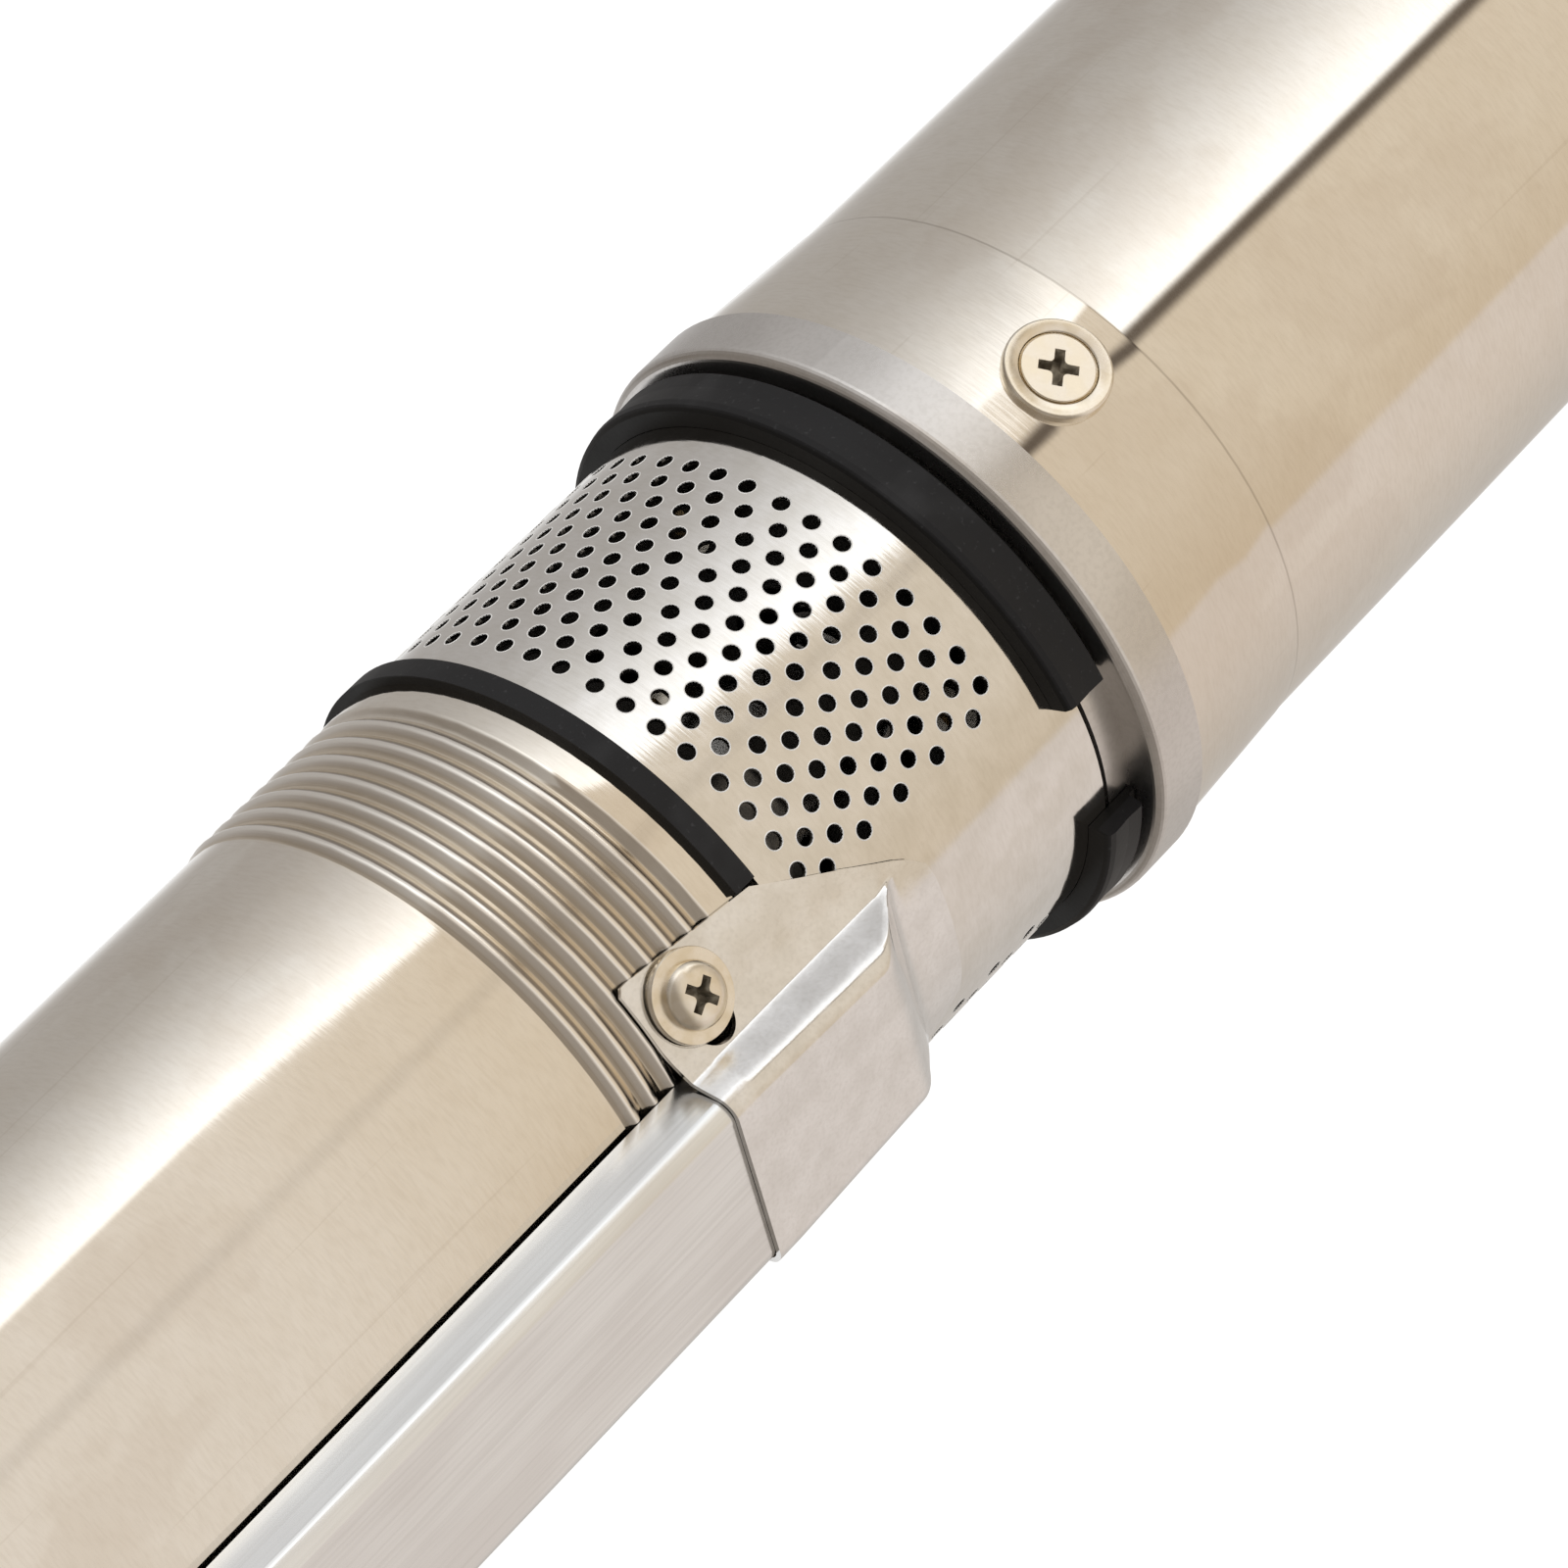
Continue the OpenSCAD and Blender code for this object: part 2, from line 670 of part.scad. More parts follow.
// Bowl of one stage: wall, return vanes, guide disc and top plate
module stage_bowl(z) {
    plate = stage_pitch - bowl_plate;
    disc = plate - vane_h - shroud_t;
    disc_r = bowl_in - 3;
    color("whitesmoke") translate([0, 0, z]) union() {
        rotate_extrude() polygon([
            [plate_hole, plate], [bowl_in, plate], [bowl_in, 0], [bowl_r, 0],
            [bowl_r, stage_pitch], [plate_hole, stage_pitch]]);
        ring(hub_r + water_gap, disc_r, disc, shroud_t);
        blades(vane_count, plate_hole + 2, bowl_in + 0.4, 55, shroud_t, disc + shroud_t / 2,
            vane_h + shroud_t);
    }
}

// Closed impeller with backward-curved blades
module impeller(z) {
    low = 2;
    blade = low + shroud_t;
    color("ivory") translate([0, 0, z]) difference() {
        union() {
            translate([0, 0, -impeller_drop]) cylinder(r = hub_r, h = stage_pitch);
            ring(eye_r, impeller_r, low, shroud_t);
            ring(eye_r, neck_ring_r, -bowl_plate + 0.5, low + bowl_plate);
            ring(hub_r - 1, impeller_r, blade + blade_h, shroud_t);
            blades(blade_count, eye_r + 0.2, impeller_r, -70, shroud_t, blade - 0.5, blade_h + 1);
        }
        hex_bar(shaft_af + 2 * fit, -impeller_drop - 1, stage_pitch + 2);
    }
}

// Perforated suction strainer with a window for the cable under the foot
module strainer() {
    group = 4;
    window = guard_half - 4.4;
    window_h = 10;
    window_low = z_strainer - hood_reach - window_h + 2;
    color("silver") difference() {
        ring(strainer_r - strainer_t, strainer_r, z_strainer_bot, strainer_len);
        for (row = [0:hole_rows - 1], side = [-1, 1]) let (inset = (row + 1) % 2)
            for (i = [0:hole_half - 1 - inset])
                radial(guard_angle + side * (blank_half + hole_step * (i + inset / 2) + group_gap * floor(i / group)),
                    z_strainer - hole_margin - row * hole_row_pitch, strainer_r - strainer_t - 1)
                    cylinder(d = hole_d, h = strainer_t + 2);
        translate([-window, -strainer_r - 1, window_low]) cube([2 * window, strainer_r, window_h]);
    }
}

// Flat gasket between strainer and tube, open under the guard's foot
module strainer_gasket() {
    foot_there = foot_waist + (foot_half - foot_waist) * gasket_t / (gasket_t + foot_rise);
    open = asin((foot_there + 2 * fit) / guard_seat);
    rebate = 1;
    color("#151515") rotate([0, 0, guard_angle + open]) rotate_extrude(angle = 360 - 2 * open)
        translate([0, z_strainer]) polygon([
            [gasket_seat + fit, 0], [gasket_r - rebate, 0], [gasket_r - rebate, rebate / 2], [gasket_r,
                rebate / 2],
            [gasket_r, gasket_t], [gasket_seat + fit, gasket_t]]);
}

// Inlet casing: flange on the motor, four posts and a spigot that carries the tube
module inlet_casing() {
    bore = casing_r - inlet_depth;
    z_ring = z_strainer - inlet_ring_h;
    z_flange = z_face + inlet_flange;
    color("lightgray") difference() {
        union() {
            rotate_extrude() polygon([
                [bore, z_ring], [casing_r - inlet_step, z_ring], [casing_r - inlet_step,
                    z_strainer - inlet_lip],
                [casing_r, z_strainer - inlet_lip], [casing_r, z_strainer], [gasket_seat, z_strainer],
                [gasket_seat, z_tube_bot], [spigot_r, z_tube_bot], [spigot_r, z_stage], [plate_hole, z_stage],
                [plate_hole, z_stage - bowl_plate], [spigot_r - 5, z_stage - bowl_plate - 6],
                [spigot_r - 5, z_tube_bot], [bore, z_tube_bot - 6]]);
            ring(seal_pocket_r, casing_r, z_face, inlet_flange);
            for (a = post_angles) rotate([0, 0, a]) translate([bore + 1, -post_w / 2, z_flange - 1])
                cube([casing_r - inlet_step - bore - 1.5, post_w, z_ring - z_flange + 2]);
        }
        for (a = bolt_angles) rotate([0, 0, a]) translate([bolt_circle, 0, z_face - 1])
            cylinder(r = m6_r + fit, h = inlet_flange + 2);
        translate([0, -gland_circle, z_face - 1]) cylinder(r = gland_r + fit, h = inlet_flange + 2);
        for (side = [-1, 1]) radial(guard_angle + side * screw_angle, screw_ends[0], spigot_r - 6)
            cylinder(r = m5_r + fit, h = 8);
    }
}

// Bolts that hold the inlet casing to the motor
module inlet_bolts() {
    head = 6;
    color("gainsboro") for (a = bolt_angles)
        rotate([0, 0, a]) translate([bolt_circle, 0, z_face + inlet_flange]) difference() {
            union() {
                cylinder(r = 5, h = head);
                translate([0, 0, -inlet_flange - bolt_reach]) cylinder(r = m6_r,
                    h = inlet_flange + bolt_reach + 1);
            }
            hex_bar(5, head - 3, 4);
        }
}

// Sleeve that joins the motor shaft to the pump shaft
module coupling() {
    color("silver") difference() {
        translate([0, 0, z_coupling]) cylinder(r = coupling_r, h = coupling_len);
        translate([0, 0, z_coupling - 1]) cylinder(r = end_shaft_r + fit, h = coupling_hold + 1.5);
        hex_bar(shaft_af + 2 * fit, z_shaft_top, coupling_len);
        translate([0, -key_w / 2 - fit, z_coupling - 1])
            cube([end_shaft_r + 2 + fit, key_w + 2 * fit, coupling_hold + 1]);
    }
}

// Key between the motor shaft and the coupling
module coupling_key() {
    color("dimgray") translate([end_shaft_r - 2, -key_w / 2, z_shaft_top - key_len - 1]) cube([4, key_w,
        key_len]);
}

// Split rubber ring with a flat outer band, between strainer and motor
module rubber_ring() {
    inner = strainer_r + fit;
    lip = strainer_r + ring_rise;
    groove = inner + 0.9;
    top = z_strainer_bot + 3.5;
    color("#111111") rotate([0, 0, ring_gap[1]]) rotate_extrude(angle = 360 - ring_gap[1] + ring_gap[0]) polygon([
        [inner, top], [lip - 0.9, top], [lip - 0.2, top - 0.5], [lip, top - 1.3], [lip - 0.15, top - 4],
        [lip, top - 6.4], [lip - 0.4, top - 6.7], [groove, top - 6.9], [groove, z_rim + 0.3],
        [inner, z_rim + 0.3]]);
}

// Motor's upper bracket: rim, bearing seat, seal pocket and cable hole
module upper_bracket() {
    neck = strainer_r - fit;
    cone_top = motor_in + flare_rise - 2 * fit;
    cone_bot = motor_in + flare_step - 2 * fit;
    groove = 1.2;
    rim_edge = [for (a = [90:-15:0]) [rim_r - rim_round * (1 - cos(a)), z_rim - rim_round * (1 - sin(a))]];
    color("lightgray") difference() {
        rotate_extrude() polygon(concat(
            [[seal_pocket_r, z_face], [neck, z_face], [neck, z_rim]], rim_edge,
            [[rim_r, z_rim_bot], [cone_top, z_rim_bot], [cone_bot, z_flare], [stator_r, z_flare],
            [stator_r, z_bracket_bot], [bearing_r + 4, z_bracket_bot], [bearing_r + 4, z_upper_bearing],
            [bearing_r + fit, z_upper_bearing], [bearing_r + fit, z_upper_bearing + bearing_w],
            [bearing_bore + 2, z_upper_bearing + bearing_w], [bearing_bore + 2, z_face - seal_pocket],
            [seal_pocket_r, z_face - seal_pocket]]));
        ring(stator_r - 2 * groove, stator_r + 1, z_bracket_bot + 2, 2 * groove);
        for (a = bolt_angles) rotate([0, 0, a]) translate([bolt_circle, 0, z_face - bolt_reach - 2])
            cylinder(r = m6_r + fit, h = bolt_reach + 3);
        translate([0, -gland_circle, z_bracket_bot - 1]) cylinder(r = gland_r + fit,
            h = z_face - z_bracket_bot + 2);
        for (a = cup_angles) radial(a, z_rim_bot - cup_drop, motor_in - screw_depth)
            cylinder(r = m5_r + fit, h = 2 * screw_depth);
    }
}

// Sealing ring in the upper bracket's groove
module bracket_oring() {
    color("#181818") rotate_extrude() translate([stator_r - 1.15, z_bracket_bot + 3.2]) circle(r = 1.1);
}

// Rubber gland of the supply cable
module cable_gland() {
    bore = 4;
    collar = 2.5;
    low = z_face - 16;
    color("#202020") translate([0, -gland_circle, 0]) difference() {
        union() {
            translate([0, 0, low]) cylinder(r = gland_r, h = z_face + inlet_flange + 1 - low);
            translate([0, 0, z_face + inlet_flange]) cylinder(r = gland_r + 1, h = collar);
        }
        translate([0, 0, low - 1]) cylinder(r = bore, h = z_face - low + inlet_flange + collar + 2);
    }
}

// Place of a bracket screw on the flare, with its own axis outwards
module on_flare(angle) {
    share = cup_drop / flare_len;
    surface = motor_r + flare_rise + (flare_step - flare_rise) * share;
    radial(angle, z_rim_bot - cup_drop, surface) children();
}

// Body of the flared tube end, grown by a gap
module flare_body(gap) {
    translate([0, 0, z_flare])
        cylinder(r1 = motor_r + flare_step + gap, r2 = motor_r + flare_rise + gap, h = flare_len, $fn = 360);
}

// Countersunk screws that hold the motor tube to the bracket
module bracket_screws() {
    reach = motor_wall + screw_depth - 1;
    color("gainsboro") for (a = cup_angles) on_flare(a) rotate([0, 0, 12]) difference() {
        rotate_extrude() polygon([
            [0, -reach], [m5_r, -reach], [m5_r, cup_h - screw_head_h], [screw_head_r, cup_h], [0, cup_h]]);
        translate([0, 0, cup_h]) cross_recess(4.9, cup_h - 0.4);
    }
}

// Turned cup washers under the bracket screws
module cup_washers() {
    edge = 0.7;
    bore = m5_r + fit;
    color("silver") for (a = cup_angles) difference() {
        on_flare(a) rotate_extrude() polygon([
            [bore, -1], [cup_r, -1], [cup_r, cup_h - edge], [cup_r - edge, cup_h], [screw_head_r + fit,
                cup_h],
            [bore, cup_h - screw_head_h]]);
        flare_body(fit);
    }
}

// Fixed ring of the shaft seal
module seal_seat() {
    color("whitesmoke") ring(bearing_bore + 1, seal_pocket_r - fit, z_face - seal_pocket, 4);
}

// Turning ring of the shaft seal
module seal_face() {
    color("#2b2b2b") ring(end_shaft_r + fit, seal_pocket_r - 3, z_face - seal_pocket + 4 + seat_gap, 5);
}

// Spring of the shaft seal, between its turning ring and the coupling
module seal_spring() {
    low = z_face - seal_pocket + 9.3;
    high = z_coupling - 0.2;
    color("gray") coil(end_shaft_r + 2.2, 0.8, low, high - low, 5);
}

// Outer ring of a ball bearing
module bearing_outer(z) {
    track = ball_r + ball_play;
    color("silver") rotate_extrude() difference() {
        translate([pitch_r + 2.6, z]) square([bearing_r - pitch_r - 2.6, bearing_w]);
        translate([pitch_r, z + bearing_w / 2]) circle(r = track);
    }
}

// Inner ring of a ball bearing
module bearing_inner(z) {
    track = ball_r + ball_play;
    color("silver") rotate_extrude() difference() {
        translate([bearing_bore + fit, z]) square([pitch_r - bearing_bore - 2.6 - fit, bearing_w]);
        translate([pitch_r, z + bearing_w / 2]) circle(r = track);
    }
}

// Balls of a bearing in their cage
module bearing_cage(z) {
    color("goldenrod") translate([0, 0, z + bearing_w / 2]) {
        difference() {
            ring(pitch_r - 1, pitch_r + 1, -bearing_w / 2 + 1, bearing_w - 2);
            for (i = [0:ball_count - 1]) radial(360 * i / ball_count, 0, pitch_r - 2)
                cylinder(r = ball_r + ball_play, h = 4);
        }
        for (i = [0:ball_count - 1]) rotate([0, 0, 360 * i / ball_count]) translate([pitch_r, 0,
            0]) sphere(r = ball_r);
    }
}

// Motor tube with its flared upper end
module motor_tube() {
    color("silver") difference() {
        rotate_extrude() polygon([
            [motor_in, z_motor_bot], [motor_r, z_motor_bot], [motor_r, z_flare], [motor_r + flare_step,
                z_flare],
            [motor_r + flare_rise, z_rim_bot], [motor_in + flare_rise, z_rim_bot], [motor_in + flare_step,
                z_flare],
            [motor_in, z_flare - motor_wall]]);
        for (a = cup_angles) radial(a, z_rim_bot - cup_drop, motor_in - 3) cylinder(r = m5_r + fit, h = 9);
    }
}

// Stator core with open slots
module stator_core() {
    slot_w = 2.4;
    slot_depth = 10;
    color("slategray") difference() {
        ring(stator_in, stator_r, z_core_bot, z_core_top - z_core_bot);
        for (i = [0:slot_count - 1]) rotate([0, 0, 360 * i / slot_count])
            translate([stator_in - 1, -slot_w / 2, z_core_bot - 1])
                cube([slot_depth + 1, slot_w, z_core_top - z_core_bot + 2]);
    }
}

// One winding head
module winding(z) {
    inner = stator_in + 3;
    outer = stator_r - 4;
    edge = 3;
    color("peru") rotate_extrude() union() {
        translate([inner, z + edge]) square([outer - inner, winding_h - 2 * edge]);
        translate([inner + edge, z]) square([outer - inner - 2 * edge, winding_h]);
        for (r = [inner + edge, outer - edge], h = [z + edge, z + winding_h - edge]) translate([r,
            h]) circle(r = edge);
    }
}

// Rotor core with its end rings
module rotor_core() {
    end_ring = 8;
    color("slategray") difference() {
        union() {
            translate([0, 0, z_core_bot]) cylinder(r = rotor_r, h = z_core_top - z_core_bot);
            ring(core_shaft_r + 3, rotor_r - 2, z_core_bot - end_ring,
                z_core_top - z_core_bot + 2 * end_ring);
        }
        translate([0, 0, z_core_bot - end_ring - 1])
            cylinder(r = core_shaft_r + fit, h = z_core_top - z_core_bot + 2 * end_ring + 2);
    }
}

// Stepped motor shaft with a keyway at its end
module motor_shaft() {
    low = z_lower_bearing - 1;
    color("silver") difference() {
        rotate_extrude() polygon([
            [0, low], [bearing_bore, low], [bearing_bore, z_lower_top], [core_shaft_r, z_lower_top],
            [core_shaft_r, z_upper_bearing], [bearing_bore, z_upper_bearing],
            [bearing_bore, z_upper_bearing + bearing_w + 1], [end_shaft_r, z_upper_bearing + bearing_w + 2],
            [end_shaft_r, z_shaft_top], [0, z_shaft_top]]);
        translate([end_shaft_r - 2 - fit, -key_w / 2 - fit, z_shaft_top - key_len - 1 - fit])
            cube([4, key_w + 2 * fit, key_len + 2]);
    }
}

// Motor's lower bracket with the lower bearing seat
module lower_bracket() {
    color("lightgray") difference() {
        rotate_extrude() polygon([
            [bearing_bore + 2, z_lower_bracket], [stator_r, z_lower_bracket], [stator_r, z_lower_top],
            [bearing_r + fit, z_lower_top], [bearing_r + fit, z_lower_bearing], [bearing_bore + 2,
                z_lower_bearing]]);
        for (a = base_angles) rotate([0, 0, a]) translate([base_circle, 0, z_lower_bracket - 1])
            cylinder(r = m5_r + fit, h = 12);
    }
}

// Cap that closes the motor's lower end
module base_cap() {
    groove = 1.2;
    edge = 2;
    color("lightgray") difference() {
        rotate_extrude() polygon([
            [0, z_base], [motor_r - edge, z_base], [motor_r, z_base + edge], [motor_r, z_motor_bot],
            [stator_r, z_motor_bot], [stator_r, z_lower_bracket], [base_circle - 6, z_lower_bracket],
            [base_circle - 6, z_motor_bot - 3], [0, z_motor_bot - 3]]);
        ring(stator_r - 2 * groove, stator_r + 1, z_motor_bot + 3, 2 * groove);
        for (a = base_angles) rotate([0, 0, a]) translate([base_circle, 0, z_base - 1]) {
            cylinder(r = m5_r + fit, h = base_h + cap_spigot + 2);
            cylinder(r = 5, h = 6.5);
        }
        translate([0, 0, z_base - 1]) cylinder(r = 5 + fit, h = base_h);
        translate([0, 0, z_base - 1]) cylinder(r = 8, h = 3);
    }
}

// Sealing ring in the base cap's groove
module base_oring() {
    color("#181818") rotate_extrude() translate([stator_r - 1.15, z_motor_bot + 4.2]) circle(r = 1.1);
}

// Screws that hold the base cap to the lower bracket
module base_screws() {
    head = 4;
    reach = base_h + cap_spigot - 5.5 + 8;
    color("gainsboro") for (a = base_angles) rotate([0, 0, a]) translate([base_circle, 0,
        z_base + 5.5]) difference() {
        union() {
            translate([0, 0, -head]) cylinder(r = 4.2, h = head);
            translate([0, 0, -1]) cylinder(r = m5_r, h = reach + 1);
        }
        translate([0, 0, -head - 1]) cylinder(r = 4 / sqrt(3), h = 3.5, $fn = 6);
    }
}

// Plug of the motor's filling hole
module fill_plug() {
    color("goldenrod") translate([0, 0, z_base]) difference() {
        union() {
            translate([0, 0, 0.3]) cylinder(r = 7.5, h = 1.7);
            translate([0, 0, 1]) cylinder(r = 5, h = base_h - 5);
        }
        translate([0, 0, -1]) cylinder(r = 5 / sqrt(3), h = 5, $fn = 6);
    }
}

discharge_head();
valve_seat();
seat_circlip();
valve_guide();
valve_spring();
valve_poppet();
valve_washer();
pump_tube();
cable_guard();
guard_foot();
guard_screws();
bearing_spider();
top_bush();
top_sleeve();
shaft_nut();
pump_shaft();
strainer();
strainer_gasket();
inlet_casing();
inlet_bolts();
coupling();
coupling_key();
rubber_ring();
upper_bracket();
bracket_oring();
cable_gland();
bracket_screws();
cup_washers();
seal_seat();
seal_face();
seal_spring();
motor_tube();
stator_core();
winding(z_core_top);  // winding_top
winding(z_core_bot - winding_h);  // winding_bottom
rotor_core();
motor_shaft();
lower_bracket();
base_cap();
base_oring();
base_screws();
fill_plug();
for (end = [["upper", z_upper_bearing], ["lower", z_lower_bearing]]) {
    bearing_outer(end[1]);
    bearing_inner(end[1]);
    bearing_cage(end[1]);
}
for (i = [1:stages]) {
    stage_bowl(z_stage + (i - 1) * stage_pitch);
    impeller(z_stage + (i - 1) * stage_pitch);
}
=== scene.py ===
import math

import bmesh
import bpy
from mathutils import Matrix, Vector


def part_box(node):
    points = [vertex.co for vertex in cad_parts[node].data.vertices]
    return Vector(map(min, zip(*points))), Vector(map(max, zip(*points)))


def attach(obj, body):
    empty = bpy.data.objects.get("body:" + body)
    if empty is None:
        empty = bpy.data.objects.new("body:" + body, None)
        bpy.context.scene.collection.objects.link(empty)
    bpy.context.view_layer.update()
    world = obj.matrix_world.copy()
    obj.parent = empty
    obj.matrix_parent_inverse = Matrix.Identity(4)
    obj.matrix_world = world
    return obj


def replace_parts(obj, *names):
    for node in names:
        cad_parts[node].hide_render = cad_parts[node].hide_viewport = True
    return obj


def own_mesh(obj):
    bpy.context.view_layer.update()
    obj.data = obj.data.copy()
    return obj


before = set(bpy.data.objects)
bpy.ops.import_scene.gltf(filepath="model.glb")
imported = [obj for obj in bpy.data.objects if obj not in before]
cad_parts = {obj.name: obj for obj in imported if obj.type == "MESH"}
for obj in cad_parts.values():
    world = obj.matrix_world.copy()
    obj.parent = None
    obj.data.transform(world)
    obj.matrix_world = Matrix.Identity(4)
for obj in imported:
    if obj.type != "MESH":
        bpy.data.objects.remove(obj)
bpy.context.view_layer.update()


# Camera: a long lens 0.86 m from the strainer, 27 degrees above square to the pump's axis, and rolled
# so that the axis runs from the lower left to the upper right of the picture.
side = math.radians(-39.5)
lift = math.radians(27.27)
roll = math.radians(45.19)
view_distance = 0.8558
aim_z = -0.3328
aim_aside = 0.00456
toward = Vector((math.cos(side), math.sin(side), 0))
across = Vector((math.cos(side - math.pi / 2), math.sin(side - math.pi / 2), 0))
axis = Vector((0, 0, 1))
back = math.cos(lift) * toward + math.sin(lift) * axis
down = math.sin(lift) * toward - math.cos(lift) * axis
right = math.sin(roll) * across + math.cos(roll) * down
up = math.sin(roll) * down - math.cos(roll) * across
aim = Vector((0, 0, aim_z)) + aim_aside * across
lens = bpy.data.cameras.new("camera")
lens.lens = 160.46
lens.sensor_width = 36
lens.clip_start = 0.01
camera = bpy.data.objects.new("camera", lens)
turn = Matrix((right, up, back)).transposed()
camera.matrix_world = Matrix.Translation(aim + view_distance * back) @ turn.to_4x4()
bpy.context.scene.collection.objects.link(camera)
bpy.context.scene.camera = camera
bpy.context.scene.view_settings.view_transform = "Standard"


# Studio: a pale floor under the motor's base, one big lamp, and walls that the polished steel mirrors:
# a white screen on the left with a slanting edge, a narrow dark gap, then warm and pale walls. A bearing
# is that of the steel which mirrors a wall to the camera, half the wall's own. Angles are in degrees.
class Wire:
    """A shader value. Arithmetic on it adds Math nodes to its node tree."""

    def __init__(self, tree, socket):
        self.tree = tree
        self.socket = socket

    def node(self, kind, settings=None, sockets=None, out=0):
        made = self.tree.nodes.new("ShaderNode" + kind)
        for name, value in (settings or {}).items():
            setattr(made, name, value)
        for name, value in (sockets or {}).items():
            if isinstance(value, Wire):
                self.tree.links.new(value.socket, made.inputs[name])
            elif isinstance(value, tuple) and len(value) == 3 and made.inputs[name].type == "RGBA":
                made.inputs[name].default_value = (*value, 1)
            else:
                made.inputs[name].default_value = value
        return Wire(self.tree, made.outputs[out])

    def math(self, operation, *values):
        return self.node("Math", {"operation": operation}, dict(enumerate(values)))

    def __add__(self, other):
        return self.math("ADD", self, other)

    def __radd__(self, other):
        return self.math("ADD", other, self)

    def __sub__(self, other):
        return self.math("SUBTRACT", self, other)

    def __rsub__(self, other):
        return self.math("SUBTRACT", other, self)

    def __mul__(self, other):
        return self.math("MULTIPLY", self, other)

    def __rmul__(self, other):
        return self.math("MULTIPLY", other, self)

    def __pow__(self, other):
        return self.math("POWER", self, other)

    def size(self):
        return self.math("ABSOLUTE", self)

    def step(self, start, end):
        """0 up to start, 1 from end on, smooth between."""
        return self.node("MapRange", {"interpolation_type": "SMOOTHSTEP"}, {0: self, 1: start, 2: end})

    def tint(self, low, high):
        """The colour low where this value is 0, high where it is 1."""
        return self.node("Mix", {"data_type": "RGBA"}, {0: self, 6: low, 7: high}, 2)

    def stretched(self, scale):
        """This position with each axis scaled."""
        return self.node("Mapping", None, {"Vector": self, "Scale": scale})

    def noise(self, scale, detail=2.0):
        return self.node("TexNoise", None, {"Vector": self, "Scale": scale, "Detail": detail})

    def axes(self):
        return [self.node("SeparateXYZ", None, {0: self}, i) for i in range(3)]


world = bpy.data.worlds.new("studio")
bpy.context.scene.world = world
world.use_nodes = True
walls = world.node_tree
look = Wire(walls, walls.nodes.new("ShaderNodeTexCoord").outputs["Generated"])
faced = look.node("VectorRotate", {"rotation_type": "Z_AXIS"}, {"Vector": look, "Angle": -side})
ahead, aside, high = faced.axes()
bearing = aside.math("ARCTAN2", aside, ahead) * (-90 / math.pi)
height = high.math("ARCSINE", high) * (180 / math.pi)
slant = height.node("MapRange", None, {0: height, 1: -31.0, 2: -22.0, 3: -6.0, 4: -22.5})
edge = slant - 9 * (1 - height.step(-36.7, -36.1))
off_edge = bearing - edge
screen = bearing.node("MapRange", None, {0: bearing, 1: -62.0, 2: edge - 1.5}) ** 2.6
left_wall = screen.tint((0.46, 0.44, 0.425), (1.6, 1.6, 1.6))
warm_wall = bearing.step(14.0, 37.0).tint((0.80, 0.705, 0.58), (0.72, 0.61, 0.475))
warm_wall = height.step(-24.8, -20.3).tint(warm_wall, (0.86, 0.80, 0.735))
pale_wall = bearing.step(44.0, 80.0).tint((0.78, 0.70, 0.64), (0.58, 0.545, 0.51))
right_wall = bearing.step(36.3, 38.3).tint(warm_wall, pale_wall)
room = off_edge.step(-0.8, 0.8).tint(left_wall, right_wall)
gap_at = -4.8
gap = (1 - (bearing - gap_at).size().step(0.3, 2.6)) * (0.88 - 0.78 * height.step(-31.2, -30.0))
room = gap.tint(room, (0.07, 0.05, 0.04))
ceiling = height.step(-10.0, 20.0) * 0.8
room = ceiling.tint(room, (0.20, 0.17, 0.14))
table = (1 - height.step(-70.0, -45.0)) * 0.6
room = table.tint(room, (0.50, 0.45, 0.40))
limb = bearing.step(84.5, 90.0) + (1 - bearing.step(-88.0, -70.0)) ** 1.8
room = limb.tint(room, (1.0, 1.0, 1.0))
ray = walls.nodes.new("ShaderNodeLightPath")
seen = Wire(walls, ray.outputs["Is Camera Ray"])
mirrored = Wire(walls, ray.outputs["Is Glossy Ray"]) + Wire(walls, ray.outputs["Is Transmission Ray"])
sky = mirrored.tint((0.62, 0.61, 0.60), room)
sky = seen.tint(sky, (1.0, 1.0, 1.0))
walls.links.new(sky.socket, walls.nodes["Background"].inputs["Color"])

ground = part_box("base_cap")[0].z
floor_half = 6
floor_drop = 0.0005
mesh = bpy.data.meshes.new("floor")
shape = bmesh.new()
bmesh.ops.create_grid(shape, x_segments=4, y_segments=4, size=floor_half)
bmesh.ops.translate(shape, verts=shape.verts, vec=(0, 0, ground - floor_drop))
shape.to_mesh(mesh)
shape.free()
floor = bpy.data.objects.new("floor", mesh)
bpy.context.scene.collection.objects.link(floor)
pale = bpy.data.materials.new("pale_floor")
pale.use_nodes = True
paint = pale.node_tree
cover = paint.nodes["Principled BSDF"]
cover.inputs["Base Color"].default_value = (0.88, 0.88, 0.88, 1)
cover.inputs["Roughness"].default_value = 0.9
cover.inputs["Specular IOR Level"].default_value = 0.0
cover.inputs["Emission Color"].default_value = (1, 1, 1, 1)
seen = Wire(paint, paint.nodes.new("ShaderNodeLightPath").outputs["Is Camera Ray"]) * 0.45
paint.links.new(seen.socket, cover.inputs["Emission Strength"])
mesh.materials.append(pale)
floor.visible_glossy = False

